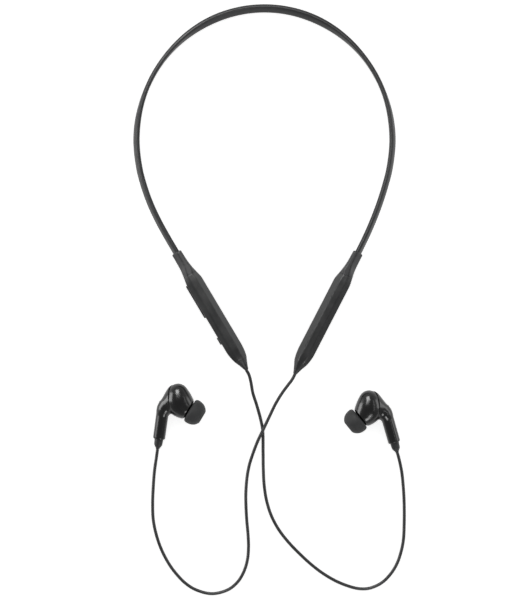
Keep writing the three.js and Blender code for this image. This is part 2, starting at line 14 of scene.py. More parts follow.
import bmesh
import bpy
import numpy as np
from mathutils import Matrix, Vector


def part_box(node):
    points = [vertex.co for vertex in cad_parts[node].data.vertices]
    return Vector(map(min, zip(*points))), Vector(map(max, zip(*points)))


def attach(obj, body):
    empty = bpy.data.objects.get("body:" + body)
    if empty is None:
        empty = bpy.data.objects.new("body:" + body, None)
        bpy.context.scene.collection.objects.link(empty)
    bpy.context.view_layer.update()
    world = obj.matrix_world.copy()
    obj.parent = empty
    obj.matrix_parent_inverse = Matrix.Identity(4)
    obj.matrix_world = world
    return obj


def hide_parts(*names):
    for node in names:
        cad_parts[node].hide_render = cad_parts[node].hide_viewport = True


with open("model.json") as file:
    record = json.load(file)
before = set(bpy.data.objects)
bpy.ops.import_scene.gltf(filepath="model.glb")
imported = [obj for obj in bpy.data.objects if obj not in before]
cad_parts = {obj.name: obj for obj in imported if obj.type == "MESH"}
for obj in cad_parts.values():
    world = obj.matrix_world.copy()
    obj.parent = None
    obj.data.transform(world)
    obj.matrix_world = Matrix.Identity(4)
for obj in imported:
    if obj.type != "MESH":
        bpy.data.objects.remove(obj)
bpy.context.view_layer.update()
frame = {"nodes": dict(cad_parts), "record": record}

log = logging.getLogger("earphones")
MM = 0.001
UP = np.array([0.0, 0.0, 1.0])
STRIP_THICKNESS = 2.4
STRIP_BREADTH = 5.0
# Where a finish's drifting noise reaches its first and its second shade, and its least and most roughness.
DRIFT_LOW, DRIFT_HIGH = 0.35, 0.68
GLOSS_LOW, GLOSS_HIGH = 0.3, 0.7
# A wave texture turns 20 radians per unit, so dividing its scale by this makes wires and gaps a grain wide.
WAVE_DIVISOR = 6.3


# ------------------------------------------------------------------ finishes


class Grain(Enum):
    """How a moulded or worked surface feels, which picks the pattern under its shader."""

    SPARK = "spark-eroded mould texture"
    POLISHED = "polished mould"
    SKIN = "matt silicone skin"
    DRAWN = "drawn or rolled metal"
    WOVEN = "woven wire or fabric"
    PRINTED = "printed circuit laminate"


def linear(hex_colour: str) -> tuple[float, float, float, float]:
    """Turns an sRGB hex colour into linear values.

    Args:
        hex_colour: six hex digits.

    Returns:
        Red, green, blue and alpha, linear.
    """
    channels = [int(hex_colour[i : i + 2], 16) / 255 for i in (0, 2, 4)]
    lifted = [c / 12.92 if c <= 0.04045 else ((c + 0.055) / 1.055) ** 2.4 for c in channels]
    return (*lifted, 1.0)


def add_node(
    tree: bpy.types.NodeTree,
    kind: str,
    settings: dict | None = None,
    links: dict | None = None,
) -> bpy.types.Node:
    """Adds one shader node.

    Args:
        tree: the node tree.
        kind: the node's type name.
        settings: attribute names to values, or socket names to default values.
        links: input socket names to output sockets.

    Returns:
        The new node.
    """
    node = tree.nodes.new(kind)
    for name, value in (settings or {}).items():
        if name in node.inputs:
            node.inputs[name].default_value = value
        else:
            setattr(node, name, value)
    for name, socket in (links or {}).items():
        tree.links.new(socket, node.inputs[name])
    return node


def noise(
    tree: bpy.types.NodeTree, place: bpy.types.NodeSocket, size_mm: float, **settings: float
) -> bpy.types.NodeSocket:
    """Adds a noise of a size in millimetres and returns its value."""
    settings["Scale"] = 1 / (size_mm * MM)
    return add_node(tree, "ShaderNodeTexNoise", settings, {"Vector": place}).outputs["Fac"]


@dataclass(frozen=True)
class Finish:
    """A real material and how its surface was made.

    The colour drifts between two close shades over millimetres, as moulded and handled parts do. The grain is
    a bump of its own size in millimetres, and the roughness wanders with the drift, so gloss isn't even.
    """

    name: str
    shade: str
    second_shade: str
    roughness: float
    grain: Grain
    grain_mm: float
    grain_depth_mm: float
    metallic: float = 0.0
    ior: float = 1.5
    coat: float = 0.0
    coat_roughness: float = 0.1
    sheen: float = 0.0
    drift_mm: float = 9.0
    wander: float = 0.08
    emission: float = 0.0

    def build(self) -> bpy.types.Material:
        """Makes the procedural material.

        Returns:
            The Blender material.
        """
        material = bpy.data.materials.new(self.name)
        material.use_nodes = True
        tree = material.node_tree
        tree.nodes.clear()
        place = add_node(tree, "ShaderNodeTexCoord").outputs["Object"]
        drift = noise(tree, place, self.drift_mm, Detail=4.0, Roughness=0.55)
        colour = add_node(tree, "ShaderNodeValToRGB", links={"Fac": drift})
        stops = ((DRIFT_LOW, self.shade), (DRIFT_HIGH, self.second_shade))
        for element, (position, shade_hex) in zip(colour.color_ramp.elements, stops):
            element.position = position
            element.color = linear(shade_hex)
        gloss = add_node(
            tree,
            "ShaderNodeMapRange",
            {
                "From Min": GLOSS_LOW,
                "From Max": GLOSS_HIGH,
                "To Min": self.roughness - self.wander,
                "To Max": self.roughness + self.wander,
            },
            {"Value": drift},
        ).outputs["Result"]
        height = self.grain_height(tree, place)
        bump = add_node(
            tree,
            "ShaderNodeBump",
            {"Strength": 1.0, "Distance": self.grain_depth_mm * MM},
            {"Height": height},
        ).outputs["Normal"]
        settings = {
            "Metallic": self.metallic,
            "IOR": self.ior,
            "Coat Weight": self.coat,
            "Coat Roughness": self.coat_roughness,
            "Sheen Weight": self.sheen,
            "Emission Color": (1.0, 1.0, 1.0, 1.0),
            "Emission Strength": self.emission,
        }
        shader = add_node(
            tree,
            "ShaderNodeBsdfPrincipled",
            settings,
            {"Base Color": colour.outputs["Color"], "Roughness": gloss, "Normal": bump},
        )
        add_node(tree, "ShaderNodeOutputMaterial", links={"Surface": shader.outputs["BSDF"]})
        return material

    def grain_height(self, tree: bpy.types.NodeTree, place: bpy.types.NodeSocket) -> bpy.types.NodeSocket:
        """Adds the pattern that the bump follows.

        Args:
            tree: the material's node tree.
            place: the object coordinates.

        Returns:
            A height from 0 to 1.
        """
        scale = 1 / (self.grain_mm * MM)
        if self.grain is Grain.WOVEN:
            # Two crossing sets of wires: the higher of two sine waves.
            higher = add_node(tree, "ShaderNodeMath", {"operation": "MAXIMUM"})
            for slot, direction in enumerate("XY"):
                settings = {"Scale": scale / WAVE_DIVISOR, "bands_direction": direction}
                wires = add_node(tree, "ShaderNodeTexWave", settings, {"Vector": place})
                tree.links.new(wires.outputs["Fac"], higher.inputs[slot])
            return higher.outputs["Value"]
        if self.grain is Grain.DRAWN:
            # Fine lines: noise stretched forty times along one axis.
            stretch = {"Scale": (1.0, 0.025, 1.0)}
            stretched = add_node(tree, "ShaderNodeMapping", stretch, {"Vector": place}).outputs["Vector"]
            return noise(tree, stretched, self.grain_mm, Detail=2.0)
        if self.grain is Grain.SPARK:
            # Spark erosion leaves shallow round craters, so the height is the distance to the nearest cell.
            settings = {"Scale": scale, "feature": "SMOOTH_F1", "Smoothness": 0.6}
            return add_node(tree, "ShaderNodeTexVoronoi", settings, {"Vector": place}).outputs["Distance"]
        detail = 1.0 if self.grain is Grain.POLISHED else 6.0
        return noise(tree, place, self.grain_mm, Detail=detail, Roughness=0.6)


# Each finish is named for its material and process. Black polymers sit near 4% reflectance at IOR 1.5.
FINISHES = {
    # Compression-moulded silicone: matt and a little cloudy.
    "soft_silicone": Finish(
        "moulded silicone", "202123", "262729", 0.44, Grain.SKIN, 0.35, 0.012, ior=1.43
    ),
    # Liquid silicone for ear tips: dead matt.
    "tip_silicone": Finish(
        "liquid silicone rubber", "2E2F30", "343536", 0.68, Grain.SKIN, 0.3, 0.012, ior=1.41, sheen=0.02
    ),
    # ABS from a spark-eroded mould: an even satin with grain about 0.25 mm across.
    "pod_plastic": Finish(
        "satin moulded ABS", "1F2021", "252627", 0.36, Grain.SPARK, 0.28, 0.010, ior=1.5
    ),
    "key_plastic": Finish(
        "satin moulded ABS keys", "1B1B1C", "212122", 0.4, Grain.SPARK, 0.25, 0.008, ior=1.5
    ),
    # Piano-black ABS from a polished mould: clear reflections with a faint waviness.
    "bud_plastic": Finish(
        "polished piano-black ABS", "0B0B0C", "0E0E0F", 0.21, Grain.POLISHED, 4.0, 0.006, ior=1.5, wander=0.03
    ),
    # Extruded TPE jacket: satin, with fine draw lines hidden in its grain.
    "cable_jacket": Finish(
        "extruded TPE jacket", "27282A", "2E2F31", 0.42, Grain.SKIN, 0.25, 0.010, ior=1.47
    ),
    "spring_steel": Finish(
        "drawn nickel-titanium wire", "A9ABAE", "B7B9BB", 0.3, Grain.DRAWN, 0.12, 0.004, metallic=1.0
    ),
    "copper_wire": Finish(
        "enamelled copper strand", "A85E33", "B96E3F", 0.34, Grain.DRAWN, 0.1, 0.004, metallic=1.0
    ),
    "circuit_board": Finish(
        "solder-masked glass laminate", "0E3B22", "15502E", 0.38, Grain.PRINTED, 0.8, 0.015, coat=0.3
    ),
    "plated_steel": Finish(
        "nickel-plated steel", "B9B8B2", "C6C5BF", 0.28, Grain.DRAWN, 0.15, 0.003, metallic=1.0
    ),
    "acoustic_mesh": Finish(
        "woven steel mesh", "4B4C4E", "6A6B6D", 0.4, Grain.WOVEN, 0.16, 0.05, metallic=0.9
    ),
    "black_resin": Finish(
        "filled black epoxy", "151516", "1C1C1D", 0.55, Grain.SPARK, 0.2, 0.010
    ),
    "light_lens": Finish(
        "clear polycarbonate light pipe", "C9CED2", "DCE0E3", 0.16, Grain.POLISHED, 1.5, 0.004, ior=1.58
    ),
    "pale_film": Finish(
        "polyimide film", "B98B3E", "C79A4B", 0.3, Grain.POLISHED, 0.9, 0.006
    ),
    "cell_foil": Finish(
        "aluminium laminate foil", "9EA3A8", "B2B6BA", 0.32, Grain.PRINTED, 1.2, 0.03, metallic=0.8
    ),
}

_materials: dict[str, bpy.types.Material] = {}


def material_for(slot: str) -> bpy.types.Material:
    """Returns the material of a slot, made the first time it is asked for."""
    if slot not in _materials:
        _materials[slot] = FINISHES[slot].build()
    return _materials[slot]


# ------------------------------------------------------------------ mesh tools


def add_object(name: str, data: bpy.types.ID) -> bpy.types.Object:
    """Adds an object with its data to the scene."""
    piece = bpy.data.objects.new(name, data)
    bpy.context.scene.collection.objects.link(piece)
    return piece


def add_mesh(name: str, points: np.ndarray, faces: list) -> bpy.types.Object:
    """Adds a mesh from points in millimetres and faces as indices into them."""
    mesh = bpy.data.meshes.new(name)
    mesh.from_pydata((points * MM).tolist(), [], faces)
    return add_object(name, mesh)


def full_turn(count: int) -> np.ndarray:
    """Returns angles in radians, evenly round a circle from 0."""
    return np.linspace(0, 2 * math.pi, count, endpoint=False)


def wind(count: int, wraps: bool) -> np.ndarray:
    """Returns the next index of each row or column, round to 0 where it wraps."""
    return (np.arange(count) + 1) % count if wraps else np.arange(1, count)


def skin(
    name: str,
    grid: np.ndarray,
    rows_wrap: bool = False,
    columns_wrap: bool = True,
    capped: bool = False,
    lids: np.ndarray | None = None,
) -> bpy.types.Object:
    """Makes a mesh from a grid of points, with quads between neighbours.

    Args:
        name: the object's name.
        grid: rows by columns by 3, in millimetres.
        rows_wrap: whether the last row joins the first.
        columns_wrap: whether the last column joins the first.
        capped: whether the first and last rows are closed by a fan about their middle.
        lids: further quads, as indices into the grid's points in order.

    Returns:
        The object, at the origin, with its normals outward.
    """
    rows, columns, _ = grid.shape
    after_row = wind(rows, rows_wrap)
    after_column = wind(columns, columns_wrap)
    row = np.arange(len(after_row))[:, None] * columns
    next_row = after_row[:, None] * columns
    column = np.arange(len(after_column))[None, :]
    next_column = after_column[None, :]
    quads = np.stack(
        [row + column, row + next_column, next_row + next_column, next_row + column],
        axis=-1,
    ).reshape(-1, 4)
    points = grid.reshape(-1, 3)
    faces = quads.tolist()
    if lids is not None:
        faces += lids.tolist()
    if capped:
        middles = np.stack([grid[0].mean(axis=0), grid[-1].mean(axis=0)])
        first, last = len(points), len(points) + 1
        points = np.concatenate([points, middles])
        ring = np.arange(columns)
        turn = (ring + 1) % columns
        end = (rows - 1) * columns
        faces += np.stack([np.full(columns, first), turn, ring], axis=-1).tolist()
        faces += np.stack([np.full(columns, last), end + ring, end + turn], axis=-1).tolist()
    piece = add_mesh(name, points, faces)
    tidy(piece)
    return piece


def tidy(piece: bpy.types.Object, sharp: float = 40.0) -> None:
    """Merges doubles, turns faces outward, and shades smooth but for edges sharper than an angle.

    Args:
        piece: a closed mesh object.
        sharp: the angle in degrees past which an edge stays crisp.
    """
    work = bmesh.new()
    work.from_mesh(piece.data)
    bmesh.ops.remove_doubles(work, verts=work.verts, dist=1e-7)
    bmesh.ops.recalc_face_normals(work, faces=work.faces)
    work.to_mesh(piece.data)
    work.free()
    shade(piece, sharp)


def shade(piece: bpy.types.Object, sharp: float = 40.0) -> None:
    """Shades a piece smooth but for edges sharper than an angle in degrees."""
    piece.data.polygons.foreach_set("use_smooth", np.ones(len(piece.data.polygons), bool))
    piece.data.set_sharp_from_angle(angle=math.radians(sharp))
    piece.data.update()


def settle(piece: bpy.types.Object) -> None:
    """Applies a piece's modifiers to its mesh."""
    graph = bpy.context.evaluated_depsgraph_get()
    finished = bpy.data.meshes.new_from_object(piece.evaluated_get(graph))
    piece.modifiers.clear()
    piece.data = finished


def carve(piece: bpy.types.Object, cutters: list[bpy.types.Object]) -> None:
    """Cuts other closed meshes out of a piece and removes them.

    Args:
        piece: the piece to open.
        cutters: closed meshes, which are deleted afterwards.
    """
    for cutter in cutters:
        cut = piece.modifiers.new("opening", "BOOLEAN")
        cut.operation = "DIFFERENCE"
        cut.solver = "EXACT"
        cut.object = cutter
    settle(piece)
    for cutter in cutters:
        bpy.data.objects.remove(cutter)
    shade(piece, 35.0)


def dress(piece: bpy.types.Object, slot: str, body: str, *nodes: str) -> None:
    """Gives a piece its finish, its body and the nodes it stands for.

    Args:
        piece: the finished piece.
        slot: the record's material slot.
        body: the body it rides on.
        nodes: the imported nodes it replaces.
    """
    piece.data.materials.clear()
    piece.data.materials.append(material_for(slot))
    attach(piece, body)
    if nodes:
        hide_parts(*nodes)
    log.info("%s: %s on %s", piece.name, FINISHES[slot].name, body)


def node_middle(name: str) -> np.ndarray:
    """Returns the middle of a node's box, in millimetres."""
    low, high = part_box(name)
    return (np.array(low) + np.array(high)) / 2 / MM


def unit(v: np.ndarray) -> np.ndarray:
    """Returns a vector, or each row of an array, at length 1."""
    return v / np.linalg.norm(v, axis=-1, keepdims=True)


def ease(x: np.ndarray, low: float, high: float) -> np.ndarray:
    """Returns a smooth step from 0 at low to 1 at high."""
    t = np.clip((x - low) / (high - low), 0, 1)
    return t * t * (3 - 2 * t)


def through(points: np.ndarray, count: int) -> np.ndarray:
    """Runs a centripetal Catmull-Rom curve through points and spaces it evenly.

    Each span is the usual pyramid of blends, with knots spaced by the square root of the chord, and the ends
    are carried on straight. The result is then resampled by its own length.

    Args:
        points: the points, in order.
        count: how many points to give back.

    Returns:
        count by 3 points.
    """
    ends = np.vstack([2 * points[0] - points[1], points, 2 * points[-1] - points[-2]])
    gaps = np.sqrt(np.linalg.norm(np.diff(ends, axis=0), axis=1))
    spans = []
    for i in range(len(points) - 1):
        knots = np.concatenate([[0.0], np.cumsum(gaps[i : i + 3])])
        t = np.linspace(knots[1], knots[2], 24, endpoint=False)[:, None]
        level = list(ends[i : i + 4])
        # Each level blends neighbours between the knots that they span: three, then two, then one.
        for low, high in ((0, 1), (0, 2), (1, 2)):
            starts = range(low, low + len(level) - 1)
            reach = high - low
            level = [
                ((knots[k + reach] - t) * a + (t - knots[k]) * b) / (knots[k + reach] - knots[k])
                for k, a, b in zip(starts, level, level[1:])
            ]
        spans.append(level[0])
    fine = np.vstack([*spans, points[-1][None, :]])
    travelled = np.concatenate([[0], np.cumsum(np.linalg.norm(np.diff(fine, axis=0), axis=1))])
    even = np.linspace(0, travelled[-1], count)
    return np.stack([np.interp(even, travelled, fine[:, k]) for k in range(3)], axis=-1)


def length_of(points: np.ndarray) -> float:
    """Returns the length of a line of points."""
    return float(np.linalg.norm(np.diff(points, axis=0), axis=1).sum())


# ------------------------------------------------------------------ studio


@dataclass(frozen=True)
class Softbox:
    """One lamp: where it hangs from the heads, in degrees from the zenith and clockwise from north.

    Its width runs round the zenith and its length towards it.
    """

    name: str
    from_zenith: float
    azimuth: float
    width: float
    length: float
    brightness: float
    distance: float = 800.0


@dataclass
class Studio:
    """The table, the soft light and the camera straight above."""

    middle: tuple[float, float] = (-0.5, -35.25)
    shown_height: float = 300.0
    lens: float = 200.0
    sensor: float = 36.0
    south_light: float = 0.42
    north_light: float = 0.85
    overhead_light: float = 0.34
    table_glow: float = 0.75
    table_reach: float = 1500.0
    table_drop: float = 0.02
    heads: tuple[float, float, float] = (0.0, -88.0, 6.0)
    boxes: tuple[Softbox, ...] = (
        Softbox("high_north", 38.0, 345.0, 420.0, 460.0, 11.0),
        Softbox("high_east", 44.0, 85.0, 620.0, 60.0, 3.0),
        Softbox("south", 54.0, 160.0, 260.0, 240.0, 9.0),
        Softbox("low_west", 74.0, 278.0, 420.0, 420.0, 6.0),
        Softbox("low_east", 78.0, 80.0, 420.0, 300.0, 2.5),
    )

    def build(self) -> None:
        """Makes the camera, the table, the sky and the softboxes."""
        self.camera()
        self.table()
        self.sky()
        self.softboxes()

    def camera(self) -> None:
        """Stands the camera over the middle, so that its frame's long side spans the shown height."""
        data = bpy.data.cameras.new("camera")
        data.lens = self.lens
        data.sensor_width = self.sensor
        data.clip_start = 0.01
        data.clip_end = 20.0
        stand = add_object("camera", data)
        distance = self.shown_height * self.lens / self.sensor
        stand.location = Vector((*self.middle, distance)) * MM
        bpy.context.scene.camera = stand

    def table(self) -> None:
        """Lays the pale table under everything."""
        corners = np.array([[[-1, -1], [1, -1]], [[-1, 1], [1, 1]]]) * self.table_reach
        grid = np.concatenate([corners, np.full((2, 2, 1), -self.table_drop)], axis=-1)
        top = skin("table", grid, columns_wrap=False)
        card = Finish("matt card", "F4F4F3", "F7F7F6", 0.9, Grain.SKIN, 1.5, 0.01, drift_mm=220.0)
        top.data.materials.append(replace(card, emission=self.table_glow).build())
        if top.data.polygons[0].normal.z < 0:
            top.data.flip_normals()

    def sky(self) -> None:
        """Fills the room with soft light, brightest low in the north, dimmer overhead and in the south."""
        world = bpy.data.worlds.new("studio")
        bpy.context.scene.world = world
        world.use_nodes = True
        tree = world.node_tree
        tree.nodes.clear()
        direction = add_node(tree, "ShaderNodeTexCoord").outputs["Generated"]
        parts = add_node(tree, "ShaderNodeSeparateXYZ", links={"Vector": direction})
        wall = add_node(
            tree,
            "ShaderNodeMapRange",
            {"From Min": -0.6, "From Max": 0.6, "To Min": self.south_light, "To Max": self.north_light},
            {"Value": parts.outputs["Y"]},
        ).outputs["Result"]
        strength = add_node(
            tree,
            "ShaderNodeMapRange",
            {"From Min": 0.25, "From Max": 0.9, "To Max": self.overhead_light},
            {"Value": parts.outputs["Z"], "To Min": wall},
        ).outputs["Result"]
        white = {"Color": (1.0, 1.0, 1.0, 1.0)}
        background = add_node(tree, "ShaderNodeBackground", white, {"Strength": strength})
        add_node(tree, "ShaderNodeOutputWorld", links={"Surface": background.outputs["Background"]})
        bpy.context.scene.view_settings.view_transform = "Standard"

    def softboxes(self) -> None:
        """Hangs the softboxes that the polished heads mirror: one high to the north, the others all round.

        They only show as reflections, so the sky alone lights the matt parts. Each lamp's power is its
        brightness times pi times its area.
        """
        for box in self.boxes:
            data = bpy.data.lights.new(box.name, "AREA")
            data.shape = "RECTANGLE"
            data.size = box.width * MM
            data.size_y = box.length * MM
            data.energy = box.brightness * math.pi * box.width * box.length * MM**2
            lamp = add_object(box.name, data)
            from_zenith, azimuth = math.radians(box.from_zenith), math.radians(box.azimuth)
            reach = box.distance * math.sin(from_zenith)
            offset = Vector(
                (reach * math.sin(azimuth), reach * math.cos(azimuth), box.distance * math.cos(from_zenith))
            )
            lamp.location = (Vector(self.heads) + offset) * MM
            lamp.rotation_euler = (-offset).to_track_quat("-Z", "Y").to_euler()
            lamp.visible_camera = False
            lamp.visible_diffuse = False


# ------------------------------------------------------------------ cables


@dataclass
class Cable:
    """A free 1.6 mm cable from a pod's strain relief to the other side's earbud."""

    name: str
    length: float
    route: list[tuple[float, float, float]]
    diameter: float = 1.6
    steps: int = 520

    def build(self) -> bpy.types.Object:
        """Makes the jacket as a round tube about the route's smooth curve.

        Returns:
            The cable.
        """
        line = through(np.array(self.route), self.steps)
        data = bpy.data.curves.new(self.name, "CURVE")
        data.dimensions = "3D"
        data.bevel_depth = self.diameter / 2 * MM
        data.bevel_resolution = 3
        data.use_fill_caps = True
        spline = data.splines.new("POLY")
        spline.points.add(self.steps - 1)
        flat = np.concatenate([line * MM, np.ones((self.steps, 1))], axis=1)
        spline.points.foreach_set("co", flat.ravel())
        spline.use_smooth = True
        piece = add_object(self.name, data)
        dress(piece, "cable_jacket", "headset", self.name.replace("_jacket", ""))
        log.info("%s runs %.1f mm", self.name, length_of(line))
        return piece


CONTROL_ROUTE = [
    (-10.04, -70.2, 5.0), (-8.8, -72.4, 4.85), (-7.9, -75.6, 4.4), (-6.8, -81.7, 3.0), (-5.0, -87.4, 1.7),
    (-2.9, -95, 0.9), (-1.9, -100.5, 0.85), (-1.7, -111.4, 0.85), (-1.6, -119.4, 0.85), (-1.2, -127.4, 0.85),
    (0, -135.3, 0.85), (2.4, -143, 0.85), (6.2, -150.1, 0.85), (11.1, -156.4, 0.85), (16.7, -162.2, 0.85),
    (22.6, -167.6, 0.85), (29, -172.4, 0.85), (36, -176.3, 0.85), (43.6, -179, 0.85), (47.7, -179.6, 0.85),
    (51.8, -179.2, 0.85), (57.5, -176.6, 0.85), (62, -172.2, 0.85), (65.2, -167, 0.85), (67.2, -161.2, 0.85),
    (68.4, -155.2, 0.85), (68.8, -147.2, 0.85), (68.8, -137.2, 0.85), (68.4, -129.2, 0.85),
    (67.6, -121.3, 0.85), (66.3, -115, 1.5), (65.34, -111.52, 2.12),
]
BATTERY_ROUTE = [
    (14.19, -72.2, 5.0), (12.8, -74.9, 4.9), (10.7, -77.7, 4.6), (7.5, -82.1, 4.0), (4.4, -87.3, 3.3),
    (1.8, -92.7, 2.85), (-1.9, -100.5, 2.6), (-4.3, -105.5, 2.3), (-6.5, -111.2, 1.7), (-8.4, -117, 1.1),
    (-9.6, -122.9, 0.85), (-10.3, -130.9, 0.85), (-10.3, -136.9, 0.85), (-9.9, -144.9, 0.85),
    (-9.2, -152.9, 0.85), (-9, -158.9, 0.85), (-9.5, -164.9, 0.85), (-11.2, -170.7, 0.85),
    (-14.3, -176, 0.85), (-19.2, -180, 0.85), (-27.3, -182, 0.85), (-35.4, -180, 0.85), (-40.6, -176.7, 0.85),
    (-44.9, -172.3, 0.85), (-48.5, -167.5, 0.85), (-52.3, -160.4, 0.85), (-55, -152.8, 0.85),
    (-56.6, -144.9, 0.85), (-56.9, -136.9, 0.85), (-56.6, -128.9, 0.85), (-56, -120.9, 0.85),
    (-54.92, -113.4, 1.5), (-54.43, -109.92, 2.12),
]


# ------------------------------------------------------------------ pods


@dataclass
class Pod:
    """One pod: two casing covers, the band's boot and the cable's strain relief, along one straight axis.

    The axis runs from the wire anchor's middle through the resting face's middle, and distances along it are
    counted from the band's end of the boot. Sections are drawn with the pod's inner side at +x.
    """

    name: str
    inner: int
    anchor_along: float = 10.5
    half_width: float = 4.3
    half_height: float = 5.0
    wall: float = 0.9
    parting: float = 0.05
    strip_lean: float = 22.0
    angles: int = 120
    # How crisp the sections' corners are on the casing, the boot and the strain relief.
    crispness: tuple[float, float, float] = (60.0, 20.0, 14.0)
    # The casing's half width and half height inside the boot's end, the run over which it swells from there,
    # and where it starts to close and over what distance.
    collar: tuple[float, float] = (3.4, 4.75)
    swell: tuple[float, float] = (11.5, 17.5)
    closing: tuple[float, float] = (55.0, 13.0)
    # The ends sit a little off the axis, the boot outwards with the strip, and the nose inwards: each pair is
    # a distance along and the sections' shift towards the inner side.
    drift: tuple[tuple[float, float], ...] = (
        (0, -0.4), (6, -0.35), (13, -0.1), (16.5, 0), (57, 0), (62.5, 0.12), (67, 0),
    )
    openings: list[tuple[float, float, float]] = field(default_factory=list)

    def __post_init__(self) -> None:
        """Reads the pod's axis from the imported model."""
        mounts = {m["name"]: m for m in frame["record"]["mounts"]}
        rest = np.array(mounts[f"{self.name}_rest"]["pos_m"]) / MM
        anchor = node_middle(f"{self.name}_wire_anchor")
        run = (rest - anchor) * [1, 1, 0]
        self.axis = unit(run)
        self.start = anchor - self.axis * self.anchor_along
        self.start[2] = self.half_height
        self.side = np.array([-self.axis[1], self.axis[0], 0.0]) * self.inner

    def place(self, along: np.ndarray, x: np.ndarray, z: np.ndarray) -> np.ndarray:
        """Turns distances along the pod, across it and above its middle into points.

        Args:
            along: distance from the band's end.
            x: distance towards the inner side.
            z: height above the middle.

        Returns:
            Points in the last axis, 3 long.
        """
        along, x, z = np.broadcast_arrays(along, x, z)
        x = x + np.interp(along, *zip(*self.drift))
        return (
            self.start
            + along[..., None] * self.axis
            + x[..., None] * self.side
            + z[..., None] * UP
        )

    @staticmethod
    def section(turn: np.ndarray, sides: list[tuple], crispness: float) -> np.ndarray:
        """The reach of a section's outline in each direction.

        The outline is a polygon with rounded corners. Each side is a line given by two of its points, and the
        reach is the p-norm of what the sides allow: one over the p-th root of the sum of their p-th powers. A
        larger p makes crisper corners.

        Args:
            turn: directions in radians, from the inner side towards the top.
            sides: pairs of points (x1, z1, x2, z2), each an array or number that broadcasts with turn.
            crispness: p.

        Returns:
            The reach, shaped as turn.
        """
        total = 0.0
        for x1, z1, x2, z2 in sides:
            normal_x = np.asarray(z2 - z1, float)
            normal_z = np.asarray(x1 - x2, float)
            size = np.hypot(normal_x, normal_z)
            distance = (normal_x * x1 + normal_z * z1) / size
            lean = (normal_x * np.cos(turn) + normal_z * np.sin(turn)) / size
            total = total + np.maximum(lean / distance, 0) ** crispness
        return total ** (-1 / crispness)

    def casing_sides(self, width: np.ndarray, height: np.ndarray) -> list[tuple]:
        """The casing's eight sides: steep bevel inside, shallow bevel outside, flat top and bottom."""
        corners = [
            (1.0, -0.34), (1.0, 0.26), (0.38, 1.0), (-0.42, 1.0),
            (-1.0, 0.66), (-1.0, -0.34), (-0.42, -1.0), (0.42, -1.0),
        ]
        pairs = zip(corners, corners[1:] + corners[:1])
        return [(a * width, b * height, c * width, d * height) for (a, b), (c, d) in pairs]

    def casing_size(self, along: np.ndarray) -> tuple[np.ndarray, np.ndarray]:
        """The casing's half width and half height along the pod.

        It swells from inside the boot's end, runs parallel, and closes on a power of the distance after that.

        Args:
            along: distance from the band's end.

        Returns:
            Half width and half height.
        """
        swell = ease(along, *self.swell)
        start, run = self.closing
        close = np.clip((along - start) / run, 0, 1)
        slim, low = self.collar
        width = (slim + (self.half_width - slim) * swell) * (1 - 0.8 * close**2.05)
        height = (low + (self.half_height - low) * swell) * (1 - 0.83 * close**2.2)
        return width, height

    def cover(self, top: bool) -> bpy.types.Object:
        """Makes one casing cover as a closed wall: outside, parting lips and inside.

        Args:
            top: the top cover, or else the bottom one.

        Returns:
            The cover before its openings are cut.
        """
        along = np.concatenate([[13.1, 13.14, 13.22], np.linspace(13.6, 61.9, 110), [62.25, 62.34, 62.38]])
        tuck = np.zeros(len(along))
        tuck[:3] = [0.1, 0.04, 0.01]
        tuck[-3:] = tuck[2::-1]
        lip = self.parting / self.half_width
        half_turn = np.linspace(lip, math.pi - lip, self.angles // 2)
        turn = half_turn if top else half_turn + math.pi
        width, height = self.casing_size(along)
        width, height = (width - tuck)[:, None], (height - tuck)[:, None]
        outside = self.section(turn[None, :], self.casing_sides(width, height), self.crispness[0])
        # A fine groove marks the parting line: the outside draws in by 0.1 mm over its last 0.2 mm.
        rise = np.abs(np.sin(turn))[None, :] * outside
        outside = outside - 0.1 * (1 - ease(rise, self.parting, 0.25))
        inside = outside - self.wall
        loop = np.concatenate([outside, inside[:, ::-1]], axis=1)
        angle = np.concatenate([turn, turn[::-1]])[None, :]
        grid = self.place(along[:, None], loop * np.cos(angle), loop * np.sin(angle))
        # The columns run out along the outside and back along the inside, so each lid pairs them off.
        rows, columns, _ = grid.shape
        outer = np.arange(columns // 2 - 1)
        inner = columns - 1 - outer
        lid = np.stack([outer, outer + 1, inner - 1, inner], axis=-1)
        lids = np.concatenate([lid, lid + (rows - 1) * columns])
        return skin(f"{self.name}_{'top' if top else 'bottom'}_shell", grid, lids=lids)

    def window(self, along: float, half_length: float, half_height: float) -> bpy.types.Object:
        """A rounded slot through the outer side, as a cutting shape.

        Args:
            along: the slot's middle along the pod.
            half_length: half its length.
            half_height: half its height.

        Returns:
            The cutter.
        """
        turn = full_turn(48)
        x, z = rounded_box(turn, half_length, half_height, min(half_length, half_height))
        depth = np.array([-self.half_width - 2.0, -self.half_width + self.wall + 1.0])
        grid = self.place((along + x)[None, :], depth[:, None], z[None, :])
        return skin("window", grid, capped=True)

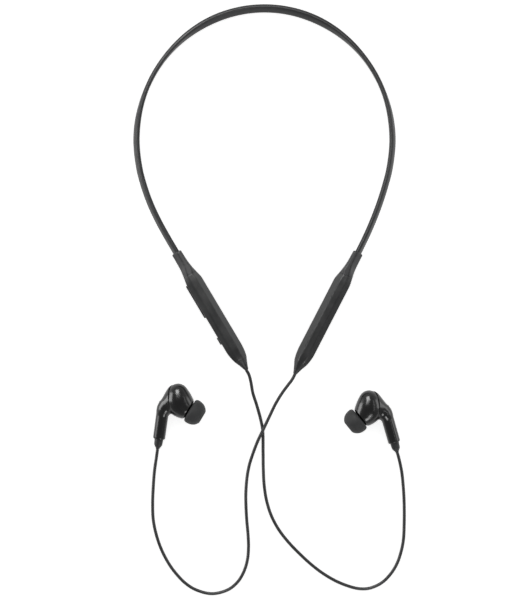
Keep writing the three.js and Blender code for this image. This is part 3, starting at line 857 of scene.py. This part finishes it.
    def boot(self) -> bpy.types.Object:
        """Makes the soft boot: its ridge runs from the middle at the band to the outer side at the casing.

        The wall goes down the outside from the casing to the band, back up the pocket that holds the strip,
        and on through the neck that the covers trap.

        Returns:
            The boot.
        """
        turn = full_turn(self.angles)[None, :]
        along = np.concatenate([[13.06], np.linspace(13.02, 0.9, 60), [0.55, 0.25, 0.06, 0.0]])
        draw_in = np.concatenate([[0.06], np.zeros(60), [0.03, 0.12, 0.3, 0.5]])
        t = np.clip(along / 13.0, 0, 1)
        width = (2.6 + 0.98 * t**3 - draw_in)[:, None]
        height = (3.5 + 1.24 * t**1.3 - draw_in)[:, None]
        ridge = 0.06 - 0.48 * ease(along, 5.0, 13.0)[:, None]
        shoulder = -0.12 + 0.76 * ease(along, 8.5, 13.3)[:, None]
        inner_flat = 0.78 - 0.34 * ease(along, 10.5, 13.3)[:, None]
        inner_drop = 0.58 - 0.3 * ease(along, 10.5, 13.3)[:, None]
        level = np.ones_like(ridge)
        corners = [
            (1.0, -0.34), (1.0, inner_drop), (inner_flat, level), (ridge, level),
            (-1.0, shoulder), (-1.0, np.minimum(-0.34, shoulder - 0.05)), (-0.42, -1.0), (0.42, -1.0),
        ]
        pairs = zip(corners, corners[1:] + corners[:1])
        sides = [(a * width, b * height, c * width, d * height) for (a, b), (c, d) in pairs]
        outside = self.section(turn, sides, self.crispness[1])
        rings = [(along, outside * np.cos(turn), outside * np.sin(turn))]
        # The pocket and the way for the wire and cable are superellipses: |x/a|^n + |z/b|^n = 1.
        for reach, half_x, half_z in (
            (np.array([0.15, 8.3]), STRIP_THICKNESS / 2 + 0.12, STRIP_BREADTH / 2 + 0.12),
            (np.array([8.35, 15.5]), 0.75, 1.5),
        ):
            x, z = superellipse(turn, half_x, half_z, 3.0)
            # The pocket leans with the strip, its top towards the inner side.
            lean = math.radians(self.strip_lean)
            x, z = x * math.cos(lean) + z * math.sin(lean), z * math.cos(lean) - x * math.sin(lean)
            rows = np.ones((2, 1))
            rings.append((reach, x * rows, z * rows))
        for reach, radius in ((15.5, 2.4), (14.7, 2.45), (14.65, 1.95), (13.2, 1.95)):
            rings.append((np.array([reach]), radius * np.cos(turn), radius * np.sin(turn)))
        rows = [self.place(r[:, None], x, z) for r, x, z in rings]
        return skin(f"{self.name}_boot", np.concatenate(rows), rows_wrap=True)

    def relief(self) -> bpy.types.Object:
        """Makes the cable's strain relief: the casing's section closing to a round sleeve on the cable.

        Returns:
            The strain relief, with the flange that the covers trap.
        """
        turn = full_turn(self.angles)[None, :]
        along = np.concatenate([[62.42, 62.46, 62.55], np.linspace(62.8, 68.0, 26), [68.25, 68.35]])
        tuck = np.zeros(len(along))
        tuck[:2] = [0.08, 0.02]
        tuck[-2:] = [0.03, 0.1]
        t = np.clip((along - 62.4) / 5.95, 0, 1)
        round_off = ease(t, 0.15, 0.85)[:, None]
        width = (0.92 + 2.32 * (1 - t) ** 1.25 - tuck)[:, None]
        height = (0.92 + 2.85 * (1 - t) ** 1.2 - tuck)[:, None]
        angular = self.section(turn, self.casing_sides(width, height), self.crispness[2])
        circle = np.broadcast_to((width + height) / 2, angular.shape)
        reach = angular + (circle - angular) * round_off
        rings = [
            self.place(np.array([[a]]), r * np.cos(turn), r * np.sin(turn))
            for a, r in ((60.1, 1.7), (60.2, 1.85), (60.9, 1.85), (61.0, 1.2), (62.45, 1.2))
        ]
        rings.append(self.place(along[:, None], reach * np.cos(turn), reach * np.sin(turn)))
        return skin(f"{self.name}_strain_relief", np.concatenate(rings), capped=True)

    def build(self) -> None:
        """Makes and dresses the covers, boot and strain relief."""
        for top in (True, False):
            shell = self.cover(top)
            if self.openings:
                carve(shell, [self.window(*opening) for opening in self.openings])
            dress(shell, "pod_plastic", "headset", f"{self.name}_{'top' if top else 'bottom'}_cover")
        dress(self.boot(), "soft_silicone", "headset", f"{self.name}_band_boot")
        dress(self.relief(), "soft_silicone", "headset", f"{self.name}_cable_relief")


@dataclass
class Key:
    """A moulded key on the control pod's outer side: its cap, its stalk and the flange behind the wall."""

    node: str
    along: float
    length: float
    proud: float
    dip: float = 0.0
    height: float = 2.2
    edge: float = 0.4
    corner: float = 0.55

    def build(self, pod: Pod) -> None:
        """Makes the key on a pod and dresses it.

        Each row is a rounded slot shape at one depth. The cap's outer rows shrink on a quarter circle, and a
        rocker's face dips in the middle by a cosine bell.

        Args:
            pod: the pod that it sits in.
        """
        turn = full_turn(96)[None, :]
        arc = np.linspace(0, math.pi / 2, 7)[1:, None]
        face = pod.half_width + self.proud
        cap_start = face - self.edge
        # The flange's rows, then the stalk's and the cap's first, and how far each spreads past the cap.
        flange_depth = np.array([[2.2], [2.25], [2.75], [2.8], [2.82], [cap_start]])
        spread = np.array([[0.7], [0.8], [0.8], [0.7], [0.0], [0.0]])
        depth = np.concatenate([flange_depth, cap_start + self.edge * np.sin(arc)])
        shrink = -self.edge * (1 - np.cos(arc))
        grow = np.concatenate([spread, shrink])
        tall = np.concatenate([spread * 0.75, shrink])
        half_length = self.length / 2 + grow
        half_height = self.height / 2 + tall
        x, z = rounded_box(turn, half_length, half_height, self.corner)
        inner_rings = np.array([0.75, 0.45, 0.15])[:, None]
        x = np.concatenate([x, x[-1:] * inner_rings])
        z = np.concatenate([z, z[-1:] * inner_rings])
        depth = np.concatenate([depth * np.ones_like(turn), face * np.ones((3, turn.shape[1]))])
        bell = np.cos(np.clip(x / (self.length / 2), -1, 1) * math.pi / 2) ** 4
        outer_rows = (depth > pod.half_width).astype(float)
        depth = depth - self.dip * bell * outer_rows
        grid = pod.place(self.along + x, -depth, z)
        piece = skin(f"{self.node}_key", grid, capped=True)
        dress(piece, "key_plastic", self.node, self.node)


def rounded_box(
    turn: np.ndarray, half_x: np.ndarray, half_z: np.ndarray, corner: float
) -> tuple[np.ndarray, np.ndarray]:
    """Returns the points of a rectangle with round corners, a quarter of the turn to each corner."""
    x = np.cos(turn) * corner + np.sign(np.cos(turn)) * (half_x - corner)
    z = np.sin(turn) * corner + np.sign(np.sin(turn)) * (half_z - corner)
    return x, z


def superellipse(
    turn: np.ndarray, half_x: float, half_z: float, power: float
) -> tuple[np.ndarray, np.ndarray]:
    """Returns the points of |x/a|^n + |z/b|^n = 1 at each angle."""
    x = half_x * np.sign(np.cos(turn)) * np.abs(np.cos(turn)) ** (2 / power)
    z = half_z * np.sign(np.sin(turn)) * np.abs(np.sin(turn)) ** (2 / power)
    return x, z


# ------------------------------------------------------------------ neckband


@dataclass
class Neckband:
    """The silicone strip: an ellipse over the nape that straightens into each pod, and leans on its way."""

    control: Pod
    battery: Pod
    centre: tuple[float, float] = (-1.0, 44.5)
    radii: tuple[float, float] = (63.85, 65.85)
    below: float = 12.0
    handles: tuple[float, float] = (17.5, 15.0)
    sleeve_depth: float = 8.0
    nape_height: float = 2.3
    nape_lean: float = -36.0
    side_lean: float = 22.0
    upright: float = 58.0

    def plan(self) -> np.ndarray:
        """The strip's middle line, from inside the control pod's boot to inside the battery pod's.

        Returns:
            Points in millimetres, level with the pods' middles.
        """
        turn = np.radians(np.arange(180 + self.below, -self.below - 1, -12))
        arc = np.stack(
            [
                self.centre[0] + self.radii[0] * np.cos(turn),
                self.centre[1] + self.radii[1] * np.sin(turn),
                np.zeros_like(turn),
            ],
            axis=-1,
        )
        control_end = self.run(arc[0], -1, self.control, self.handles[0])
        battery_end = self.run(arc[-1], 1, self.battery, self.handles[1])
        return through(np.vstack([control_end[::-1], arc, battery_end]), 420)

    def run(self, start: np.ndarray, side: int, pod: Pod, handle: float) -> np.ndarray:
        """The cubic Bezier from the ellipse's end to a pod, and on into its boot.

        Args:
            start: the ellipse's end.
            side: -1 for the control pod's side, 1 for the battery pod's.
            pod: the pod.
            handle: how far the curve's two handles reach.

        Returns:
            Points after the start.
        """
        end = pod.place(np.array(0.0), 0.0, 0.0) * [1, 1, 0]
        below = math.radians(self.below)
        away = np.array([-side * math.sin(below), -math.cos(below), 0.0])
        t = np.linspace(0, 1, 6)[1:, None]
        curve = (
            (1 - t) ** 3 * start
            + 3 * (1 - t) ** 2 * t * (start + away * handle)
            + 3 * (1 - t) * t**2 * (end - pod.axis * handle)
            + t**3 * end
        )
        return np.vstack([curve, end + pod.axis * self.sleeve_depth])

    def build(self) -> None:
        """Makes the strip as a hollow flat oval, with fine mould lines along its two edges."""
        middle = self.plan()
        tangent = unit(np.gradient(middle, axis=0))
        from_centre = middle[:, :2] - self.centre
        from_nape = np.degrees(np.abs(np.arctan2(from_centre[:, 0], from_centre[:, 1])))
        pod_height = self.control.half_height
        middle[:, 2] = self.nape_height + (pod_height - self.nape_height) * ease(from_nape, 10, 140)
        nape = self.nape_lean * (1 - ease(from_nape, 18, self.upright))
        sides = self.side_lean * ease(from_nape, self.upright, 88)
        lean = np.radians(nape + sides)[:, None]
        # Turning the vertical about the tangent by the lean keeps it square to the tangent.
        up = UP * np.cos(lean) + np.cross(tangent, UP) * np.sin(lean)
        across = np.cross(up, tangent)
        turn = full_turn(56)[None, :]
        x, z = superellipse(turn, STRIP_THICKNESS / 2, STRIP_BREADTH / 2, 3.2)
        mould_line = 0.05 * np.exp(-((x / 0.12) ** 2)) * np.sign(z)
        bore_x, bore_z = superellipse(turn, 0.72, 1.6, 2.6)
        outside = self.carry(middle, across, up, x, z + mould_line)
        inside = self.carry(middle, across, up, bore_x, bore_z)
        grid = np.concatenate([outside, inside[::-1]])
        piece = skin("neckband_strip", grid, rows_wrap=True)
        dress(piece, "soft_silicone", "headset", "neckband_sleeve")

    @staticmethod
    def carry(
        middle: np.ndarray, across: np.ndarray, up: np.ndarray, x: np.ndarray, z: np.ndarray
    ) -> np.ndarray:
        """Carries a section along a line: middle plus x times across plus z times up."""
        return middle[:, None, :] + x[..., None] * across[:, None, :] + z[..., None] * up[:, None, :]


# ------------------------------------------------------------------ earbuds


@dataclass
class Earbud:
    """One earbud: polished front and rear shells, its ear tip and the stem's strain relief.

    Its own axes are the nozzle's axis, the direction beside it towards the top of the head, and the third
    across both. The nozzle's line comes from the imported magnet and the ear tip's joint.
    """

    name: str
    mirror: int
    roll: float = 9.5
    fall: float = 31.0
    nozzle_shift: float = -1.0
    tip_lift: float = 0.3
    magnet_middle: float = -0.6
    half: tuple[float, float, float] = (6.6, 8.0, 6.3)
    head_lean: float = 16.0
    crown: tuple[float, float, float] = (-0.4, 4.05, 0.0)
    crown_radius: float = 5.1
    cheek: tuple[float, float, float] = (-1.6, 3.85, 0.0)
    cheek_radius: float = 4.8
    shoulder: tuple[float, float, float] = (-7.1, -3.2, 0.0)
    shoulder_radius: float = 3.8
    muzzle_along: float = 4.2
    muzzle_radius: float = 5.6
    muzzle_end: float = 6.35
    seam_turn: float = 13.0
    seam_rise: float = 28.0
    seam_offset: float = -1.7
    seam_gap: float = 0.09
    stem_top: tuple[float, float, float] = (-7.7, -1.6, 0.0)
    stem_end: tuple[float, float, float] = (-10.2, -18.75, 0.0)
    stem_radii: tuple[float, float] = (3.1, 3.05)
    nozzle_end: float = 12.6
    nozzle_radius: float = 2.3
    # How far the nozzle and stem run on past where they are cut open.
    overrun: float = 0.6
    wall: float = 0.8
    # The block that holds a form as drawn, and the size of the cells that its rough mesh starts from.
    block: tuple[tuple[float, float, float], ...] = ((-14.0, -21.0, -8.0), (13.0, 10.0, 8.0))
    cell: float = 0.42
    slides: int = 10

    def __post_init__(self) -> None:
        """Works out where the head's middle is and how the earbud's own directions lie."""
        joints = {j["name"]: j for j in frame["record"]["behaviour"]["joints"]}
        side = self.name.split("_")[0]
        self.body = f"{side}_ear_tip"
        out = unit(np.array(joints[f"{side}_ear_tip_pull"]["axis"], float))
        level = np.array([-out[1], out[0], 0.0]) * self.mirror
        roll = math.radians(self.roll)
        beside = level * math.cos(roll) + UP * math.sin(roll)
        third = -level * math.sin(roll) + UP * math.cos(roll)
        fall = math.radians(self.fall)
        local = np.array(
            [[math.cos(fall), -math.sin(fall), 0], [math.sin(fall), math.cos(fall), 0], [0, 0, 1.0]]
        )
        # Rows of local are the earbud's directions as drawn, and rows of world are the same as they lie.
        self.tip_axis, self.tip_side = local[0], local[1]
        self.turn = local.T @ np.array([out, beside, third])
        magnet = node_middle(f"{self.name}_driver_magnet")
        self.middle = magnet - out * self.magnet_middle - beside * self.nozzle_shift
        self.nozzle_start = self.tip_side * self.nozzle_shift
        self.tip_start = self.nozzle_start + self.tip_side * self.tip_lift
        self.stem_axis = unit(np.array(self.stem_end) - np.array(self.stem_top))

    def lay(self, points: np.ndarray) -> np.ndarray:
        """Turns points as drawn into points as the earbud lies."""
        return points @ self.turn + self.middle

    # The distances below are negative inside a form, zero on it and positive outside, in millimetres.

    def egg(self, p: np.ndarray) -> np.ndarray:
        """Distance to the head's egg: k (k - 1) / g, where k is the scaled radius and g its gradient."""
        lean = math.radians(self.head_lean)
        x = p[..., 0] * math.cos(lean) + p[..., 1] * math.sin(lean)
        y = -p[..., 0] * math.sin(lean) + p[..., 1] * math.cos(lean)
        q = np.stack([x, y, p[..., 2]], axis=-1)
        half = np.array(self.half)
        k = np.linalg.norm(q / half, axis=-1)
        g = np.linalg.norm(q / half**2, axis=-1)
        return k * (k - 1) / np.maximum(g, 1e-6)

    @staticmethod
    def round_bar(
        p: np.ndarray, start: np.ndarray, axis: np.ndarray, low: float, high: float, radius: np.ndarray
    ) -> np.ndarray:
        """Distance to a bar about an axis: the larger of the radial and the end distances.

        Args:
            p: points.
            start: a point of the axis.
            axis: its direction.
            low: where the bar starts.
            high: where it ends.
            radius: its radius at each point's distance along the axis.

        Returns:
            The distance at each point.
        """
        along = (p - start) @ axis
        radial = np.linalg.norm(p - start - along[..., None] * axis, axis=-1)
        return np.maximum.reduce([radial - radius, along - high, low - along])

    @staticmethod
    def blend(a: np.ndarray, b: np.ndarray, reach: float) -> np.ndarray:
        """Joins two forms with a fillet: the smaller distance, less a quadratic where they are close."""
        closeness = np.maximum(reach - np.abs(a - b), 0) / reach
        return np.minimum(a, b) - closeness**2 * reach / 4

    @staticmethod
    def taper(p: np.ndarray, start: np.ndarray, end: np.ndarray, radii: tuple[float, float]) -> np.ndarray:
        """Distance to a bar with ball ends, whose radius runs evenly from one ball's to the other's."""
        run = end - start
        t = np.clip((p - start) @ run / (run @ run), 0, 1)
        nearest = start + t[..., None] * run
        return np.linalg.norm(p - nearest, axis=-1) - (radii[0] + (radii[1] - radii[0]) * t)

    def front_form(self, p: np.ndarray) -> np.ndarray:
        """The front shell's form: the egg, the swell behind the ear tip and the nozzle."""
        along = (p - self.nozzle_start) @ self.tip_axis
        muzzle = self.nozzle_start + self.tip_axis * self.muzzle_along
        swell = self.taper(p, np.array(self.crown), muzzle, (self.crown_radius, self.muzzle_radius))
        # The swell is cut off square under the tip, with a rounded rim: the fillet of both forms' outsides.
        swell = -self.blend(-swell, self.muzzle_end - along, 1.0)
        end = self.nozzle_end + self.overrun
        nozzle = self.round_bar(p, self.tip_start, self.tip_axis, 0.0, end, self.nozzle_radius)
        return self.blend(self.blend(self.egg(p), swell, 1.2), nozzle, 0.5)

    def rear_form(self, p: np.ndarray) -> np.ndarray:
        """The rear shell's form: the egg, the slope down to the shoulder and the stem, with fillets."""
        top, end = np.array(self.stem_top), np.array(self.stem_end)
        span = float(np.linalg.norm(end - top))
        along = (p - top) @ self.stem_axis
        radius = self.stem_radii[0] + (self.stem_radii[1] - self.stem_radii[0]) * np.clip(along / span, 0, 1)
        # The stem grows out of the shoulder over 5 mm, and its end rounds off over its last 0.45 mm.
        radius = radius - 1.2 * (1 - ease(along, -1.0, 4.0))
        last = np.clip((along - span + 0.45) / 0.45, 0, 1)
        radius = radius - 0.4 * (1 - np.sqrt(1 - 0.96 * last**2))
        stem = self.round_bar(p, top, self.stem_axis, -1.0, span + self.overrun, radius)
        radii = (self.cheek_radius, self.shoulder_radius)
        slope = self.taper(p, np.array(self.cheek), np.array(self.shoulder), radii)
        return self.blend(self.blend(stem, slope, 1.6), self.egg(p), 1.6)

    def shrink_wrap(self, name: str, form: Callable[[np.ndarray], np.ndarray]) -> bpy.types.Object:
        """Makes a form's surface: a rough closed mesh whose points then slide down the distance to zero.

        Args:
            name: the object's name.
            form: a method that gives the distance.

        Returns:
            The closed surface, as drawn.
        """
        low, high = np.array(self.block)
        counts = np.ceil((high - low) / self.cell).astype(int)
        axes = [np.linspace(low[k], high[k], counts[k]) for k in range(3)]
        space = np.stack(np.meshgrid(*axes, indexing="ij"), axis=-1)
        corners, quads = block_faces(form(space) < 0)
        step = (high - low) / (counts - 1)
        points = low + (corners - 0.5) * step
        nudge = 0.02
        for _ in range(self.slides):
            distance = form(points)
            slope = np.stack(
                [(form(points + nudge * e) - form(points - nudge * e)) / (2 * nudge) for e in np.eye(3)],
                axis=-1,
            )
            push = distance / np.maximum((slope**2).sum(axis=-1), 0.1)
            points = points - 0.9 * push[:, None] * slope
            points = relax(points, quads, 0.35)
        points = points - form(points)[:, None] * unit(slope)
        return add_mesh(name, points, quads.tolist())

    def seam_normal(self) -> np.ndarray:
        """The direction from the rear shell to the front one, across their seam."""
        turn, rise = math.radians(self.seam_turn), math.radians(self.seam_rise)
        return np.array(
            [math.cos(rise) * math.cos(turn), math.cos(rise) * math.sin(turn), math.sin(rise)]
        )

    def shell(self, front: bool) -> bpy.types.Object:
        """Makes one shell: its form cut at the seam and at its open end, and given its wall.

        Args:
            front: the front shell, or else the rear one.

        Returns:
            The shell where it lies.
        """
        label = "front" if front else "rear"
        form = self.front_form if front else self.rear_form
        piece = self.shrink_wrap(f"{self.name}_{label}_casing", form)
        normal = self.seam_normal() * (1 if front else -1)
        seam_point = self.seam_normal() * self.seam_offset + normal * self.seam_gap / 2
        if front:
            end_point = self.nozzle_start + self.tip_axis * self.nozzle_end
            end_axis = self.tip_axis
        else:
            end_point = np.array(self.stem_end)
            end_axis = self.stem_axis
        work = bmesh.new()
        work.from_mesh(piece.data)
        bmesh.ops.recalc_face_normals(work, faces=work.faces)
        for point, outward in ((seam_point, -normal), (end_point, end_axis)):
            bmesh.ops.bisect_plane(
                work,
                geom=work.verts[:] + work.edges[:] + work.faces[:],
                dist=1e-7,
                plane_co=point * MM,
                plane_no=outward,
                clear_outer=True,
            )
        work.to_mesh(piece.data)
        work.free()
        self.move_into_place(piece)
        thicken = piece.modifiers.new("wall", "SOLIDIFY")
        thicken.thickness = self.wall * MM
        thicken.offset = -1.0
        settle(piece)
        shade(piece, 50.0)
        return piece

    def move_into_place(self, piece: bpy.types.Object) -> None:
        """Moves a piece's points from where they were drawn to where the earbud lies."""
        mesh = piece.data
        points = np.empty(len(mesh.vertices) * 3)
        mesh.vertices.foreach_get("co", points)
        placed = self.lay(points.reshape(-1, 3) / MM) * MM
        mesh.vertices.foreach_set("co", placed.ravel())
        if self.mirror < 0:
            mesh.flip_normals()
        mesh.update()

    def turned(
        self, name: str, profile: np.ndarray, start: np.ndarray, axis: np.ndarray, closed: bool
    ) -> bpy.types.Object:
        """Makes a turned piece: each profile point goes round the axis.

        Args:
            name: the object's name.
            profile: rows of distance along the axis and radius.
            start: a point of the axis, as drawn.
            axis: its direction, as drawn.
            closed: whether the profile closes on itself, or else is capped at both ends.

        Returns:
            The piece where it lies.
        """
        sideways = unit(np.cross(axis, UP))
        third = np.cross(axis, sideways)
        turn = full_turn(72)
        wheel = np.cos(turn)[:, None] * sideways + np.sin(turn)[:, None] * third
        grid = start + profile[:, :1, None] * axis + profile[:, 1:, None] * wheel[None, :, :]
        return skin(name, self.lay(grid), rows_wrap=closed, capped=not closed)

    def ear_tip(self) -> bpy.types.Object:
        """Makes the ear tip: a dome that rolls back into a skirt round its core tube."""
        outline = np.array(
            [
                (6.92, 5.05), (7.3, 5.7), (8.0, 6.1), (8.9, 6.22), (10.2, 6.1), (11.6, 5.7), (12.9, 4.95),
                (13.9, 3.9), (14.35, 2.95), (14.3, 2.25), (13.7, 2.12), (13.3, 2.5), (11.4, 2.6), (7.5, 2.6),
                (7.38, 2.9), (7.5, 3.2), (11.6, 3.25), (12.4, 3.75), (12.0, 4.5), (10.8, 5.15), (9.0, 5.58),
                (7.9, 5.4), (7.2, 4.9),
            ]
        )
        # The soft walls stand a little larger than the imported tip, and closer to the head.
        outline[:, 0] -= 0.3
        outline[:, 1] += 0.16 * ease(outline[:, 1], 3.6, 5.8)
        ring = np.vstack([outline, outline[:1]])
        smooth = through(np.column_stack([ring, np.zeros(len(ring))]), 150)[:-1, :2]
        return self.turned(f"{self.name}_soft_tip", smooth, self.tip_start, self.tip_axis, True)

    def strain_relief(self) -> bpy.types.Object:
        """Makes the stem's strain relief: a bulb that slims slowly and then closes onto the cable."""
        along = np.concatenate([[-4, -3.9, 0.06, 0.1, 0.2], np.linspace(0.4, 5.2, 40), [5.34, 5.4]])
        radius = 2.2 - 0.14 * ease(along, 0.3, 3.4) - 1.2 * ease(along, 2.7, 5.5) ** 1.15
        radius[:5] = [1.0, 1.12, 1.12, 2.04, 2.17]
        radius[-2:] = [0.86, 0.8]
        profile = np.column_stack([along, radius])
        end = np.array(self.stem_end)
        return self.turned(f"{self.name}_stem_relief", profile, end, self.stem_axis, False)

    def build(self) -> None:
        """Makes and dresses the earbud's visible pieces."""
        for label in ("front", "rear"):
            dress(self.shell(label == "front"), "bud_plastic", "headset", f"{self.name}_{label}_shell")
        dress(self.ear_tip(), "tip_silicone", self.body, f"{self.name}_ear_tip")
        dress(self.strain_relief(), "soft_silicone", "headset", f"{self.name}_cable_relief")


def block_faces(inside: np.ndarray) -> tuple[np.ndarray, np.ndarray]:
    """The faces between filled and empty cells of a block of cells.

    Args:
        inside: which cells are filled. The outermost ones are empty.

    Returns:
        The corners as whole numbers, and the quads as indices into them, turned outward.
    """
    quads = []
    for axis in range(3):
        change = np.diff(inside.astype(np.int8), axis=axis)
        second, third = (axis + 1) % 3, (axis + 2) % 3
        for sign in (1, -1):
            corner = np.argwhere(change == sign)
            corner[:, axis] += 1
            a, b = np.eye(3, dtype=int)[[second, third]]
            square = np.stack([corner, corner + a, corner + a + b, corner + b], axis=1)
            quads.append(square[:, ::-1] if sign == 1 else square)
    soup = np.concatenate(quads)
    corners, index = np.unique(soup.reshape(-1, 3), axis=0, return_inverse=True)
    return corners.astype(float), index.reshape(-1, 4)


def relax(points: np.ndarray, quads: np.ndarray, share: float) -> np.ndarray:
    """Moves each point part of the way to the mean of its neighbours.

    Args:
        points: the mesh's points.
        quads: its faces.
        share: how much of the way to go.

    Returns:
        The new points.
    """
    total = np.zeros_like(points)
    count = np.zeros(len(points))
    for k in range(4):
        here, there = quads[:, k], quads[:, (k + 1) % 4]
        np.add.at(total, here, points[there])
        np.add.at(total, there, points[here])
        np.add.at(count, here, 1)
        np.add.at(count, there, 1)
    return points + share * (total / count[:, None] - points)


# ------------------------------------------------------------------ assembly


def dress_packed_nodes() -> None:
    """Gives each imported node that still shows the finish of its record's slot."""
    slots = {part["node"]: part["material_slot"] for part in frame["record"]["subparts"]}
    for name, node in frame["nodes"].items():
        node.data.materials.clear()
        node.data.materials.append(material_for(slots[name]))
        log.info("%s: %s", name, FINISHES[slots[name]].name)


def main() -> None:
    """Builds the studio, the cables and each sub-assembly in order."""
    Studio().build()
    Cable("control_pod_cable_jacket", 214.0, CONTROL_ROUTE).build()
    Cable("battery_pod_cable_jacket", 212.0, BATTERY_ROUTE).build()
    dress_packed_nodes()
    rocker = Key("volume_rocker", 26.25, 18.5, 0.75, dip=0.3)
    call = Key("call_button", 49.0, 4.0, 0.65)
    # Each opening is its middle along the pod, half its length and half its height. The last two on the
    # control pod are the status light's and the microphone's, and the battery pod's is the charging socket's.
    clearance = 0.16
    control = Pod(
        "control_pod",
        1,
        openings=[
            (rocker.along, rocker.length / 2 + clearance, rocker.height / 2 + clearance),
            (call.along, call.length / 2 + clearance, call.height / 2 + clearance),
            (41.0, 0.75, 0.75),
            (55.0, 0.45, 0.45),
        ],
    )
    battery = Pod("battery_pod", -1, openings=[(22.0, 4.6, 1.72)])
    control.build()
    battery.build()
    rocker.build(control)
    call.build(control)
    Neckband(control, battery).build()
    Earbud("left_bud", 1).build()
    Earbud("right_bud", -1).build()


if __name__ == "__main__":
    logging.basicConfig(level=logging.INFO, format="%(message)s")
    main()
